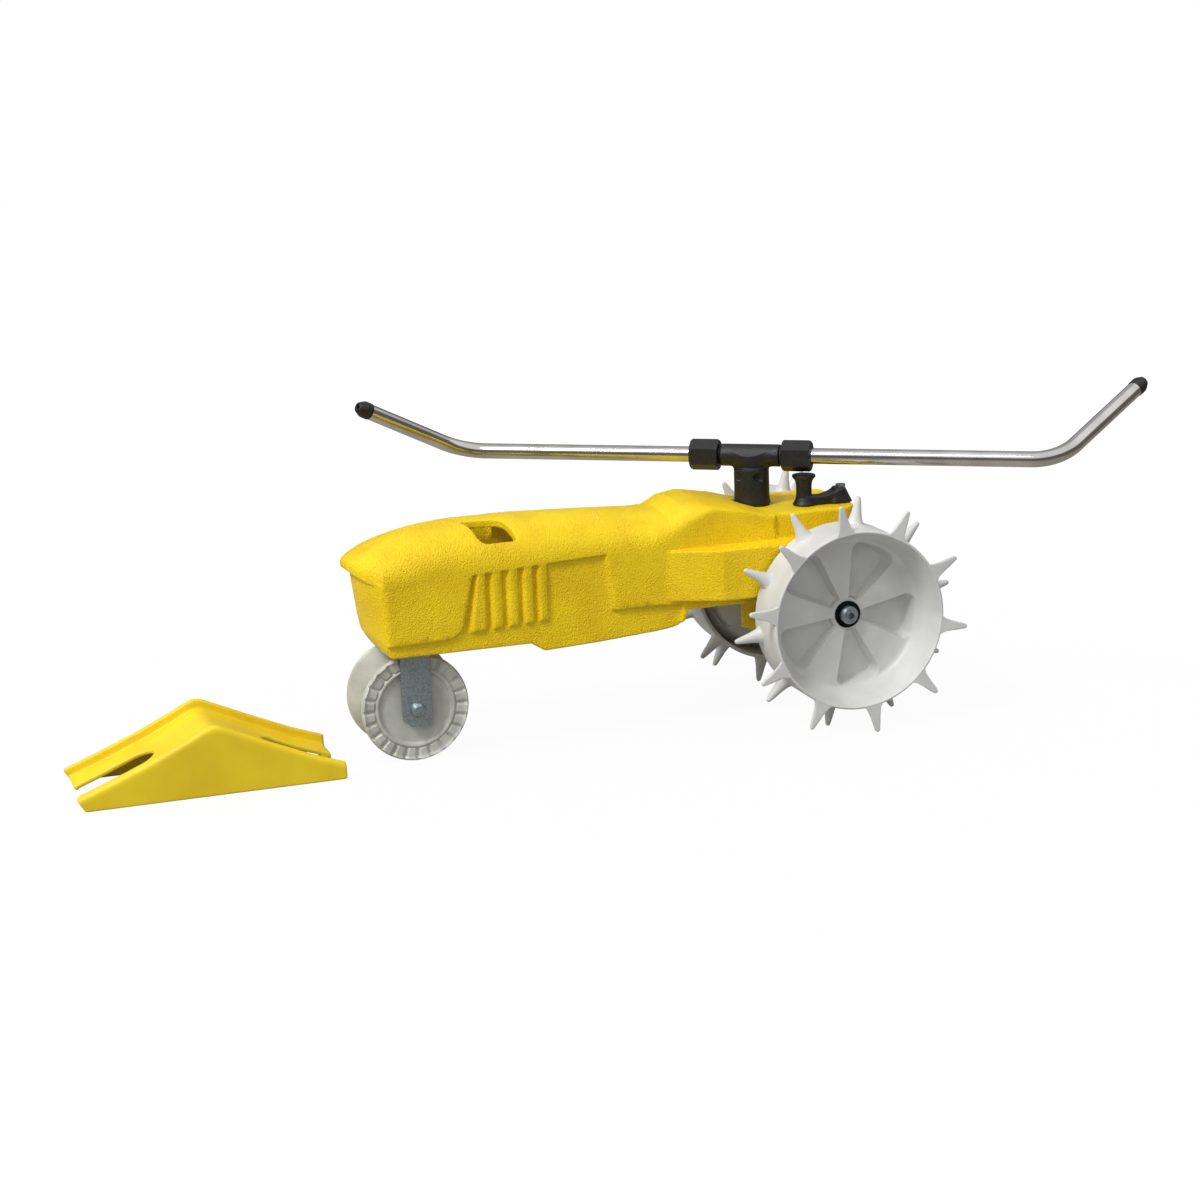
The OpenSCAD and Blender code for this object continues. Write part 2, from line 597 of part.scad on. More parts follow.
module front_wheel() {
    r = front_wheel_r;
    y = front_wheel_w / 2;
    color("white") placed() at(0, 0, front_h) difference() {
        turned([
            [front_bolt_r + shaft_gap, -y + 1], [8, -y + 1], [8.6, -y + 2.6], [0.66 * r, -y + 2.6], [0.68 * r, -y + 0.8],
            [0.7 * r, -y], [0.73 * r, -y], [0.745 * r, -y + 0.9], [r - 1.2, -y + 0.9], [r, -y + 2],
            [r, -y + 4], [groove_r + 5, -y + 17], [groove_r, -y + 21], [groove_r, y - 21], [groove_r + 5, y - 17],
            [r, y - 4], [r, y - 2], [r - 1.2, y - 0.9], [0.745 * r, y - 0.9], [0.73 * r, y], [0.7 * r, y],
            [0.68 * r, y - 0.8], [0.66 * r, y - 2.6], [8.6, y - 2.6], [8, y - 1], [front_bolt_r + shaft_gap, y - 1]
        ]);
        for (k = [0:crimp_count - 1], side = [-1, 1]) rotate([0, k * 360 / crimp_count, 0])
            at(0, side * (y + 0.5), 0) along(2.1, 0.78 * r, r + 2, 12);
    }
}

// Drive wheels.
function squircle(t, p) = sign(t) * pow(abs(t), p);
// A wedge pocket in polar form with rounded corners, grown by g.
function pocket_points(g) =
    let (r0 = 13 - g, r1 = 55 + g, half = 19)
    [for (i = [0:35])
        let (r = (r0 + r1) / 2 + (r1 - r0) / 2 * squircle(sin(i * 10), 0.45),
            a = (half + asin(g / max(r, 5))) * squircle(cos(i * 10), 0.45))
        polar(r, a)];
module spike() {
    top = spike_tip_r - spike_round_r;
    rotate_extrude($fn = 24) polygon(concat(
        [[0, tread_r - 2], [spike_root_r + 2, tread_r - 1.6], [spike_root_r + 0.5, tread_r + 1], [spike_root_r - 0.6, tread_r + 4]],
        [for (a = [10:16:74]) [spike_round_r * cos(a), top + spike_round_r * sin(a)]],
        [[0, spike_tip_r]]));
}
module drive_wheel_shape() {
    difference() {
        union() {
            turned([
                [axle_r + shaft_gap, -hub_inner_y], [14, -hub_inner_y], [14, -web_y + wheel_wall],
                [57.5, -web_y + wheel_wall], [tread_r - wheel_wall, -rim_outer_y + 7.6], [tread_r - wheel_wall, -rim_inner_y],
                [tread_r, -rim_inner_y], [tread_r, -rim_outer_y + 1], [tread_r - 1, -rim_outer_y],
                [tread_r - 2.5, -rim_outer_y], [56, -web_y], [axle_r + shaft_gap, -web_y]
            ], 120);
            for (k = [0:pocket_count - 1]) rotate([0, 8 - k * 360 / pocket_count, 0])
                side_plate(pocket_points(2), -web_y + 1, -web_y + pocket_depth + 2);
            for (k = [0:spikes_per_row - 1])
                at(0, -row_inner_y, 0) rotate([0, spike_lean - 180 + k * spike_pitch, 0]) spike();
            difference() {
                for (k = [0:spikes_per_row - 1])
                    at(0, -row_outer_y, 0) rotate([0, -spike_lean - 180 + k * spike_pitch, 0]) spike();
                across(spike_tip_r + 1, -rim_outer_y - 20, -rim_outer_y + 0.2);
            }
        }
        for (k = [0:pocket_count - 1]) rotate([0, 8 - k * 360 / pocket_count, 0])
            side_plate(pocket_points(0), -web_y - 1, -web_y + pocket_depth);
    }
}
module drive_wheel_left() { color("white") placed() at(axle_x, 0, 0) drive_wheel_shape(); }
module drive_wheel_right() { color("white") placed() at(axle_x, 0, 0) mirror([0, 1, 0]) drive_wheel_shape(); }
stub_r = 4;
axle_end_y = web_y + washer_t + nut_t + 0.8;
end_hole = 4.5;
module rear_axle() {
    color("silver") placed() at(axle_x, 0, 0) difference() {
        union() {
            across(axle_r, -web_y + 1, web_y - 1);
            across(stub_r, -axle_end_y, axle_end_y);
        }
        for (side = [-1, 1]) at(0, side * axle_end_y, 0) across(stub_r - 1.2, -end_hole, end_hole);
    }
}
module axle_gear() {
    color("dimgray") placed() at(axle_x, 0, 0) difference() {
        union() {
            side_plate(gear_outline(gear_module, axle_gear_teeth, mesh_angle + 180 + 180 / axle_gear_teeth), gear_y - gear_face, gear_y);
            across(11, gear_y - gear_face - 2, gear_y + 8);
        }
        across(axle_r, -web_y, web_y);
        for (k = [0:4]) rotate([0, k * 72, 0]) at(17, 0, 0) across(4, gear_y - gear_face - 1, gear_y + 1);
    }
}
module both_hubs() {
    placed() at(axle_x, 0, 0) for (side = [0, 1]) mirror([0, side, 0]) children();
}
module hub_washers() {
    color("dimgray") both_hubs() difference() {
        across(10.75, -web_y - washer_t, -web_y);
        across(stub_r, -web_y - nut_t, -web_y + nut_t);
    }
}
module axle_nuts() {
    color("silver") both_hubs() turned([
        [stub_r, -web_y - washer_t], [stub_r, -web_y - washer_t - nut_t], [5.8, -web_y - washer_t - nut_t],
        [7.2, -web_y - washer_t - nut_t + 2], [7.2, -web_y - washer_t]
    ]);
}
module axle_bushes() {
    color("goldenrod") both_hubs() difference() {
        union() {
            across(bush_r, -housing_half_w, -lobe_y);
            across(bush_r + 3, -housing_half_w - 2, -housing_half_w);
        }
        across(axle_r + shaft_gap, -90, -30);
    }
}

// Countershaft and its gears.
module on_countershaft() { placed() at(counter_x, 0, counter_h) children(); }
flat_depth = 0.7;
module countershaft() {
    color("silver") on_countershaft() difference() {
        across(counter_r, bay_near - 8.5, bay_far + 7);
        at(-10, gear_y - gear_face - collar_len - pinion_travel - 1, counter_r - flat_depth) cube([20, 47, 5]);
    }
}
module worm_wheel() {
    color("goldenrod") on_countershaft() difference() {
        union() {
            side_plate(gear_outline(worm_module, worm_wheel_teeth, 180 + 180 / worm_wheel_teeth), -worm_face / 2, worm_face / 2);
            across(8, -9, bay_far - 0.4);
        }
        across(counter_r, -30, 30);
    }
}
module sliding_pinion() {
    y0 = gear_y - gear_face;
    color("dimgray") on_countershaft() difference() {
        union() {
            side_plate(gear_outline(gear_module, pinion_teeth, mesh_angle), y0, gear_y);
            across(8.5, y0 - collar_len, y0);
        }
        difference() {
            across(8.6, y0 - collar_len / 2 - groove_w / 2, y0 - collar_len / 2 + groove_w / 2);
            across(5.6, y0 - collar_len, y0);
        }
        difference() {
            across(counter_r + shaft_gap, -60, 10);
            at(-10, -80, counter_r - flat_depth + 0.1) cube([20, 100, 5]);
        }
    }
}
module countershaft_bushes() {
    color("goldenrod") on_countershaft() for (y = [bay_near - 9, bay_far + 0.5]) difference() {
        across(counter_r + 2, y, y + (y < 0 ? 8.5 : 7));
        across(counter_r + shaft_gap, y - 1, y + 9.5);
    }
}

// Spinner: tube, worm and bearings.
module on_spinner() { placed() at(spin_x, 0, 0) children(); }
module spinner_bearing() {
    color("goldenrod") on_spinner() ring(spin_bore_r, tube_r + shaft_gap, deck_h - bearing_t, deck_h);
}
module seal_carrier() {
    color("goldenrod") on_spinner() ring(socket_r, tube_r + shaft_gap, carrier_h, floor_h);
}
module shaft_seal() {
    color("dimgray") on_spinner() ring(socket_r, tube_r + 0.02, seal_h, seal_h + seal_t);
}
module spinner_tube() {
    color("goldenrod") on_spinner() difference() {
        union() {
            at(0, 0, tube_bottom) cylinder(r = tube_r, h = deck_h + 12 - tube_bottom, $fn = fine);
            at(0, 0, deck_h - bearing_t - 5) cylinder(r = 11, h = 4.5, $fn = fine);
        }
        at(0, 0, tube_bottom - 1) cylinder(r = tube_bore_r, h = 120, $fn = fine);
    }
}
worm_steps = 30;
worm_turns = 2.7;
module worm() {
    pitch = worm_module * PI;
    n = floor(worm_steps * worm_turns);
    slim = 0.26 * worm_module * PI - 0.42;
    color("dimgray") on_spinner() at(0, 0, counter_h) difference() {
        union() {
            at(0, 0, -worm_len / 2) cylinder(r = worm_root_r, h = worm_len, $fn = fine);
            loft([for (i = [0:n])
                let (a = 360 * worm_turns * (i / n - 0.5), k = min(1, min(i, n - i) / 5),
                    r1 = worm_root_r - 0.3 + (worm_tip_r - worm_root_r + 0.3) * max(k, 0.05), z = pitch * a / 360,
                    w0 = slim + 1.4 * worm_module * tan(20), w1 = slim - 0.7 * worm_module * tan(20))
                [for (q = [[worm_root_r - 0.6, -w0], [r1, -w1], [r1, w1], [worm_root_r - 0.6, w0]])
                    [q[0] * cos(a), q[0] * sin(a), z + q[1]]]]);
        }
        at(0, 0, -20) cylinder(r = tube_r, h = 40, $fn = fine);
    }
}

// Spray head. Along its own X it runs out to one nozzle, and it is turned to the arms' direction.
module on_head(turn = 0) { on_spinner() at(0, 0, arm_h) rotate([0, 0, arm_yaw + turn]) children(); }
tee_low = deck_h + 0.7;
module spray_tee() {
    color("black") {
        on_head() difference() {
            union() {
                along(9, -17, 17);
                along(7.8, -26, 26);
                at(0, 0, tee_low - arm_h) cylinder(r = tee_foot_r, h = 16, $fn = fine);
                at(0, 0, tee_low - arm_h) cylinder(r = 13.4, h = arm_h - tee_low - 6, $fn = fine);
                at(0, 0, -6) cylinder(r1 = 13.4, r2 = 9, h = 10, $fn = fine);
            }
            along(arm_bore_r, -30, 30);
            along(arm_r + shaft_gap, -27, -22);
            along(arm_r + shaft_gap, 22, 27);
            at(0, 0, tee_low - arm_h - 1) cylinder(r = tube_r, h = deck_h + 12.01 - tee_low + 1, $fn = fine);
            at(0, 0, tee_low - arm_h) cylinder(r = tube_bore_r, h = arm_h - tee_low, $fn = fine);
        }
    }
}
tube_nut_r = 12.8;
module tube_nut(turn) {
    color("black") on_head(turn) difference() {
        union() {
            along(tube_nut_r, 28, 47.5, 6);
            along(tube_nut_r - 1, 26.1, 49.5, 6);
        }
        along(arm_r + shaft_gap, 20, 60);
    }
}
module tube_nut_front() { tube_nut(0); }
module tube_nut_rear() { tube_nut(180); }
bend_run = bend_r * tan(arm_bend / 2);
bend_steps = 14;
// The middle of an arm's tube as [x, z, direction], reaching over past each end.
function arm_stations(over) = concat(
    [[23 - over, 0, 0]],
    [for (i = [0:bend_steps]) let (a = arm_bend * i / bend_steps)
        [arm_reach - bend_run + bend_r * sin(a), bend_r * (1 - cos(a)), a]],
    [let (run = arm_tip - cap_cone + over)
        [arm_reach + run * cos(arm_bend), run * sin(arm_bend), arm_bend]]);
module arm_rod(r, over) {
    loft([for (p = arm_stations(over))
        [for (t = [0:10:350]) [p[0] - r * sin(t) * sin(p[2]), -r * cos(t), p[1] + r * sin(t) * cos(p[2])]]]);
}
// One arm: straight out of its nut, round the bend, then up to its nozzle.
module spray_arm(turn) {
    color("silver") on_head(turn) rotate([-arm_lean, 0, 0]) difference() {
        arm_rod(arm_r, 0);
        arm_rod(arm_bore_r, 1);
    }
}
module spray_arm_front() { spray_arm(0); }
module spray_arm_rear() { spray_arm(180); }
module nozzle(turn) {
    color("black") on_head(turn) rotate([-arm_lean, 0, 0])
        at(arm_reach + arm_tip * cos(arm_bend), 0, arm_tip * sin(arm_bend)) rotate([0, -arm_bend, 0]) difference() {
            union() {
                along(cap_r, -cap_len, -cap_cone);
                translate([-cap_cone, 0, 0]) rotate([0, 90, 0]) cylinder(r1 = cap_r, r2 = cap_end_r, h = cap_cone, $fn = fine);
            }
            along(arm_r, -cap_len - 1, -cap_cone);
            along(1.6, -cap_cone - 1, 1);
        }
}
module nozzle_front() { nozzle(0); }
module nozzle_rear() { nozzle(180); }

// Speed lever on the deck, and the finger under the deck that slides the pinion.
module on_lever() { placed() at(lever_x, lever_y, 0) children(); }
lever_h = deck_h + 0.5;
// The knob passes just under the tube nuts.
knob_gap = 2.5;
knob_cap = 3.6;
knob_top = arm_h - tube_nut_r - knob_gap;
post_top = knob_top - knob_cap - 2;
module speed_lever() {
    color("black") on_lever() difference() {
        union() {
            at(0, 0, lever_h) cylinder(r = 7, h = 9, $fn = fine);
            at(0, 0, lever_h + 9) cylinder(r1 = 7, r2 = 5, h = 3, $fn = fine);
            at(-lever_arm, -5, lever_h) cube([lever_arm, 10, 6.4]);
            at(-lever_arm, 0, lever_h) cylinder(r = 9, h = 6.4, $fn = fine);
            at(-lever_arm, 0, lever_h + 6.4) cylinder(r1 = 7.4, r2 = 6.2, h = 4, $fn = fine);
            at(-lever_arm, 0, lever_h + 3) cylinder(r = 6.2, h = post_top - lever_h - 3, $fn = fine);
            at(-lever_arm, 0, post_top) cylinder(r1 = 7, r2 = 9.5, h = 2, $fn = fine);
            at(-lever_arm, 0, post_top + 2) cylinder(r = 9.5, h = knob_cap, $fn = fine);
        }
        at(0, 0, lever_h - 1) cylinder(r = shift_r, h = 10, $fn = fine);
        at(0, 0, lever_h) cylinder(r = 2, h = 20, $fn = fine);
        at(-lever_arm, 0, knob_top - 1) cylinder(r = 6, h = 5, $fn = fine);
    }
}
module lever_screw() {
    color("silver") on_lever() difference() {
        union() {
            at(0, 0, lever_h + 3) cylinder(r = 2, h = 10, $fn = fine);
            at(0, 0, lever_h + 12) cylinder(r = 4, h = 2, $fn = fine);
        }
        at(-5, -0.5, lever_h + 13) cube([10, 1, 3]);
    }
}
module shift_shaft() {
    color("silver") on_lever() difference() {
        at(0, 0, finger_h) cylinder(r = shift_r, h = lever_h + 9 - finger_h, $fn = fine);
        at(0, 0, lever_h + 3) cylinder(r = 2, h = 10, $fn = fine);
    }
}
module shift_finger() {
    color("silver") on_lever() difference() {
        rotate([0, 0, finger_rest]) {
            at(0, 0, finger_h) cylinder(r = 7, h = 4.5, $fn = fine);
            at(-finger_len, -3, finger_h) cube([finger_len, 6, 4.5]);
            at(-finger_len, 0, finger_h) cylinder(r = 3, h = 4.5, $fn = fine);
            at(-finger_len, 0, counter_h + 6.6) cylinder(r = 1.8, h = 8, $fn = fine);
        }
        at(0, 0, finger_h - 1) cylinder(r = shift_r, h = 10, $fn = fine);
    }
}

// Shut-off valve under the spinner.
module valve_seat() {
    color("goldenrod") on_spinner() ring(socket_r, tube_bore_r, seat_h, seat_h + seat_t);
}
module shutoff_plunger() {
    color("goldenrod") on_spinner() {
        at(0, 0, foot_h) cylinder(r1 = 4.5, r2 = 6, h = 1.5, $fn = fine);
        at(0, 0, foot_h + 1.5) cylinder(r = 6, h = 2.5, $fn = fine);
        at(0, 0, foot_h + 3) cylinder(r = stem_r, h = disc_h - foot_h - 4, $fn = fine);
        at(0, 0, disc_h - 2) cylinder(r = 6, h = 2, $fn = fine);
        at(0, 0, disc_h - 1) cylinder(r = 1.5, h = 4, $fn = fine);
    }
}
module valve_disc() {
    color("dimgray") on_spinner() ring(7, 1.5, disc_h, disc_h + 2);
}
module gland_nut() {
    color("goldenrod") on_spinner() ring(chamber_r, stem_r + shaft_gap, boss_bottom, boss_bottom + 8);
}

// Hose inlet at the rear.
module on_inlet() { placed() at(boss_end, 0, gallery_h) children(); }
flange_x = nipple_len - 3;
washer_x = nipple_len + 0.6;
screen_x = washer_x + 2.5;
thread_x = screen_x + 1;
module inlet_nipple() {
    color("goldenrod") on_inlet() difference() {
        union() {
            along(nipple_r, -7, nipple_len);
            along(nipple_r + 1.7, flange_x, nipple_len);
        }
        along(nipple_bore_r, -8, nipple_len + 1);
    }
}
module hose_swivel() {
    color("goldenrod") on_inlet() difference() {
        union() {
            along(17, 2, thread_x + hose_mouth - 1);
            along(15.4, 1, thread_x + hose_mouth);
        }
        along(nipple_r + 0.06, 0, 30);
        along(hose_thread_r - 0.9, flange_x - 0.4, 60);
        along(hose_thread_r + 0.3, nipple_len + 0.5, thread_x);
        along(hose_thread_r, nipple_len + 0.5, 60);
        for (k = [0:17]) rotate([k * 20, 0, 0]) at(0, 17.4, 0) along(1.3, 1, 60, 12);
    }
}
module hose_washer() {
    color("dimgray") on_inlet() difference() {
        along(hose_thread_r + 0.3, washer_x, screen_x);
        along(8, 0, 60);
    }
}
module filter_screen() {
    color("silver") on_inlet() difference() {
        along(hose_thread_r + 0.3, screen_x, screen_x + 0.6);
        for (i = [-3:3], j = [-3:3]) if (i * i + j * j < 12) at(0, i * 2.4, j * 2.4) along(0.8, 0, 60, 12);
    }
}

body_casting();
gear_pan();
pan_screws();
ramp();
swivel_bolt();
swivel_washer();
front_fork();
front_axle_bolt();
front_axle_nut();
front_wheel();
drive_wheel_left();
drive_wheel_right();
rear_axle();
axle_gear();
hub_washers();
axle_nuts();
axle_bushes();
countershaft();
worm_wheel();
sliding_pinion();
countershaft_bushes();
spinner_bearing();
seal_carrier();
shaft_seal();
spinner_tube();
worm();
spray_tee();
tube_nut_front();
tube_nut_rear();
spray_arm_front();
spray_arm_rear();
nozzle_front();
nozzle_rear();
speed_lever();
lever_screw();
shift_shaft();
shift_finger();
valve_seat();
shutoff_plunger();
valve_disc();
gland_nut();
inlet_nipple();
hose_swivel();
hose_washer();
filter_screen();
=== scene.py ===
"""A travelling sprinkler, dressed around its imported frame: enamelled casting, ramp, wheels, fork and spray head.

Sizes in the shape functions are millimetres. Lengths along the tractor start at the front axle and
heights start at the drive axle, as the maker would draw them, and placed() carries them to the frame.
"""
import json
import math
from functools import reduce
import bmesh
import bpy
import numpy as np
from mathutils import Matrix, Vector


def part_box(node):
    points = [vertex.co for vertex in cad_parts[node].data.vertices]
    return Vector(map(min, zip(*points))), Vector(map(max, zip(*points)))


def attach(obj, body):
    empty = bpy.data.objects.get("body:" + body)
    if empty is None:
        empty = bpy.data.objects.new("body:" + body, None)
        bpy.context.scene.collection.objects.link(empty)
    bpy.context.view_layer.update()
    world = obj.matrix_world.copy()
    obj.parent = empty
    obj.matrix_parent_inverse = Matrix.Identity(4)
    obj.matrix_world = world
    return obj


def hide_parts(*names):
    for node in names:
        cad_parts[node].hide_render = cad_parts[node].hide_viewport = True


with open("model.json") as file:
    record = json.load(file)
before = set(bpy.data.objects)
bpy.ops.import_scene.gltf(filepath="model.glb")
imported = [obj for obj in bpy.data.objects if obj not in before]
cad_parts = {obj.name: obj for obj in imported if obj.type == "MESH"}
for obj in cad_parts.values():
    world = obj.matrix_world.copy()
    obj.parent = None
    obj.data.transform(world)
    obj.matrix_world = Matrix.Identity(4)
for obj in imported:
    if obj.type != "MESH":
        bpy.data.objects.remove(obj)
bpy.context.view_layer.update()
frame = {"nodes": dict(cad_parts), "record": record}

bl_info = {
    "name": "Travelling Sprinkler",
    "version": (1, 0, 0),
    "blender": (4, 5, 0),
    "location": "View3D > Sidebar > Sprinkler",
    "description": "Builds the enamelled, moulded and drawn parts of a travelling sprinkler",
    "category": "Add Mesh",
}

MM = 1000.0        # millimetres in a metre


def middle(node):
    """Middle of a node's box in millimetres."""
    low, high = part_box(node)
    return (np.array(low) + np.array(high)) * MM / 2


FRONT_X = middle("front_wheel")[0]
AXLE_Z = middle("rear_axle")[2]
WHEELBASE = middle("rear_axle")[0] - FRONT_X
SPIN_X = middle("spinner_tube")[0] - FRONT_X
FRONT_H = middle("front_wheel")[2] - AXLE_Z
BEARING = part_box("spinner_bearing")
SPIN_BORE = (BEARING[1][0] - BEARING[0][0]) * MM / 2
DECK_H = BEARING[1][2] * MM - AXLE_Z
ARM_H = middle("tube_nut_front")[2] - AXLE_Z


def linear(code):
    """sRGB hex to linear colour: c/12.92 up to 0.04045, ((c + 0.055)/1.055)^2.4 above it."""
    values = np.array([int(code[i:i + 2], 16) for i in (0, 2, 4)]) / 255
    return tuple(np.where(values <= 0.04045, values / 12.92, ((values + 0.055) / 1.055) ** 2.4)) + (1.0,)


def placed(points):
    """From tractor millimetres to frame metres: x gains the front axle's place and z the drive axle's height."""
    return (np.asarray(points, float) + [FRONT_X, 0, AXLE_Z]) / MM


class SprinklerSizes(bpy.types.PropertyGroup):
    """Sizes that a user would change"""
    louvre_depth: bpy.props.FloatProperty(
        name="Louvre depth", description="How far the side panel stands in behind its ribs",
        default=0.0029, min=0.001, max=0.004, unit="LENGTH")
    pad_height: bpy.props.FloatProperty(
        name="Pad height", description="How far the pads stand out on the front wheel's faces",
        default=0.0021, min=0.0005, max=0.0022, unit="LENGTH")
    pocket_depth: bpy.props.FloatProperty(
        name="Pocket depth", description="Depth of the drive wheels' pockets at the rim",
        default=0.013, min=0.004, max=0.013, unit="LENGTH")
    spike_root: bpy.props.FloatProperty(
        name="Spike root", description="Radius of a spike where it leaves the tread",
        default=0.0057, min=0.004, max=0.006, unit="LENGTH")
    casting_step: bpy.props.FloatProperty(
        name="Casting step", description="Spacing of the points that the casting is netted on",
        default=0.0011, min=0.001, max=0.004, unit="LENGTH")


COLOUR = {"min": 0, "max": 1, "size": 3, "subtype": "COLOR"}


class SprinklerColours(bpy.types.PropertyGroup):
    """Colours that a user would change"""
    enamel_low: bpy.props.FloatVectorProperty(
        name="Enamel, deeper", description="Deeper tone of the casting's enamel",
        default=linear("EEC70E")[:3], **COLOUR)
    enamel_high: bpy.props.FloatVectorProperty(
        name="Enamel, lighter", description="Lighter tone of the casting's enamel",
        default=linear("F8D613")[:3], **COLOUR)
    ramp_low: bpy.props.FloatVectorProperty(
        name="Ramp, deeper", description="Deeper tone of the ramp",
        default=linear("E8C614")[:3], **COLOUR)
    ramp_high: bpy.props.FloatVectorProperty(
        name="Ramp, lighter", description="Lighter tone of the ramp",
        default=linear("F3D51A")[:3], **COLOUR)
    white_low: bpy.props.FloatVectorProperty(
        name="Wheels, deeper", description="Deeper tone of the drive wheels",
        default=linear("C8C8C6")[:3], **COLOUR)
    white_high: bpy.props.FloatVectorProperty(
        name="Wheels, lighter", description="Lighter tone of the drive wheels",
        default=linear("D9D9D7")[:3], **COLOUR)
    black_low: bpy.props.FloatVectorProperty(
        name="Fittings, deeper", description="Deeper tone of the black fittings",
        default=linear("0A0A0B")[:3], **COLOUR)
    black_high: bpy.props.FloatVectorProperty(
        name="Fittings, lighter", description="Lighter tone of the black fittings",
        default=linear("151516")[:3], **COLOUR)


def sizes():
    """The user's sizes."""
    return bpy.context.scene.sprinkler_sizes


def chosen(kind):
    """The user's two colours for a kind of surface."""
    colours = bpy.context.scene.sprinkler_colours
    return getattr(colours, kind + "_low"), getattr(colours, kind + "_high")


# Meshes

def mesh_from(name, points, faces):
    """A mesh object at the origin from arrays of points (metres) and of quads or triangles."""
    mesh = bpy.data.meshes.new(name)
    mesh.vertices.add(len(points))
    mesh.vertices.foreach_set("co", np.asarray(points, np.float32).ravel())
    mesh.loops.add(faces.size)
    mesh.loops.foreach_set("vertex_index", faces.astype(np.int32).ravel())
    mesh.polygons.add(len(faces))
    mesh.polygons.foreach_set("loop_start", np.arange(len(faces), dtype=np.int32) * faces.shape[1])
    mesh.update(calc_edges=True)
    thing = bpy.data.objects.new(name, mesh)
    bpy.context.scene.collection.objects.link(thing)
    return thing


def circle(steps):
    """The angles of a full turn cut into equal steps."""
    return np.arange(steps) * 2 * np.pi / steps


def woven(rows, columns, round_rows):
    """Quads of a grid of points, numbered row by row. Rows run round, and the last joins the first if round_rows."""
    u = np.arange(rows if round_rows else rows - 1)[:, None]
    v = np.arange(columns)[None, :]
    u2, v2 = (u + 1) % rows, (v + 1) % columns
    return np.stack([u * columns + v, u2 * columns + v, u2 * columns + v2, u * columns + v2], -1).reshape(-1, 4)


def joined(parts):
    """Several (points, faces) pairs as one pair: each part's faces are moved on by the points before it."""
    starts = np.cumsum([0] + [len(points) for points, _ in parts[:-1]])
    return (np.concatenate([points for points, _ in parts]),
            np.concatenate([faces + start for (_, faces), start in zip(parts, starts)]))


def finished(thing, material, body, replaces, crease=38, weld=True):
    """Closes seams and poles, points the faces outwards, shades them smooth and ties the piece to its body."""
    if weld:
        work = bmesh.new()
        work.from_mesh(thing.data)
        bmesh.ops.remove_doubles(work, verts=work.verts, dist=2e-6)
        bmesh.ops.recalc_face_normals(work, faces=work.faces)
        work.to_mesh(thing.data)
        work.free()
    thing.data.shade_smooth()
    thing.data.set_sharp_from_angle(angle=math.radians(crease))
    thing.data.materials.clear()
    thing.data.materials.append(material)
    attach(thing, body)
    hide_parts(*replaces)


def softened(corners, radius, steps=4, closed=True):
    """A polyline whose corners are quadratic Bezier arcs: each starts and ends at the radius from its corner, and never
    past 0.48 of the way to the next one."""
    corners = np.asarray(corners, float)
    radius = np.broadcast_to(radius, len(corners))[:, None]
    before, after = np.roll(corners, 1, 0) - corners, np.roll(corners, -1, 0) - corners
    reach = [np.linalg.norm(side, axis=1, keepdims=True) for side in (before, after)]
    start = corners + before * np.minimum(radius / np.maximum(reach[0], 1e-9), 0.48)
    end = corners + after * np.minimum(radius / np.maximum(reach[1], 1e-9), 0.48)
    t = np.linspace(0, 1, steps)[None, :, None]
    arcs = (1 - t) ** 2 * start[:, None] + 2 * t * (1 - t) * corners[:, None] + t ** 2 * end[:, None]
    if not closed:
        arcs[0], arcs[-1] = corners[0], corners[-1]
    return arcs.reshape(-1, corners.shape[1])


def subdivided(line, spacing, closed=True):
    """The same polyline with points no further apart than the spacing, each stretch cut into equal steps."""
    ends = np.roll(line, -1, 0) if closed else line[1:]
    starts = line if closed else line[:-1]
    counts = np.maximum(np.ceil(np.linalg.norm(ends - starts, axis=1) / spacing), 1).astype(int)
    which = np.repeat(np.arange(len(counts)), counts)
    share = (np.arange(len(which)) - np.repeat(np.cumsum(counts) - counts, counts)) / counts[which]
    points = starts[which] + (ends - starts)[which] * share[:, None]
    return points if closed else np.vstack([points, line[-1]])


def turned(profile, steps, bulge):
    """A profile of [radius, along] turned round the Y axis: x = r sin a, y = along, z = r cos a. bulge takes each
    point's radius, place along and angle, and gives its new radius and place."""
    angle = circle(steps)[None, :]
    r, along = profile[:, :1] + 0 * angle, profile[:, 1:] + 0 * angle
    r, along = bulge(r, along, angle + 0 * r)
    points = np.stack([r * np.sin(angle), along, r * np.cos(angle)], -1)
    return points.reshape(-1, 3), woven(len(profile), steps, True)


def carried(section, centres, sides, tops):
    """A closed section of [side, top] carried along a row of centres, each with its own side and top direction.
    Its ends are flat."""
    points = centres[:, None] + section[None, :, :1] * sides[:, None] + section[None, :, 1:] * tops[:, None]
    lids = [np.repeat(points[k].mean(0)[None], len(section), 0)[None] for k in (0, -1)]
    points = np.concatenate([lids[0], points, lids[1]])
    return points.reshape(-1, 3), woven(len(points), len(section), False)


# Carved castings: distances in millimetres, below zero inside

def blended(a, b, soft):
    """Union with a fillet: the smaller of two distances, less soft/4 times the squared closeness of the two."""
    near = np.maximum(soft - np.abs(a - b), 0) / soft
    return np.minimum(a, b) - near * near * soft / 4


def union(*parts):
    """Union: the smallest of several distances."""
    return reduce(np.minimum, parts)


def trimmed(a, b, soft):
    """Overlap with a rounded edge: the union of the outsides, turned inside out."""
    return -blended(-a, -b, soft)


def block(x, y, z, low, high):
    """Distance to a box: the farthest outside of its three pairs of faces."""
    spans = [np.abs(c - (a + b) / 2) - (b - a) / 2 for c, a, b in zip((x, y, z), low, high)]
    return np.maximum(np.maximum(spans[0], spans[1]), spans[2])


def rod(a, b, along, radius, low, high):
    """Distance to a cylinder: how far (a, b) is from its middle line beyond the radius, and along beyond its ends."""
    return np.maximum(np.hypot(a, b) - radius, np.abs(along - (low + high) / 2) - (high - low) / 2)


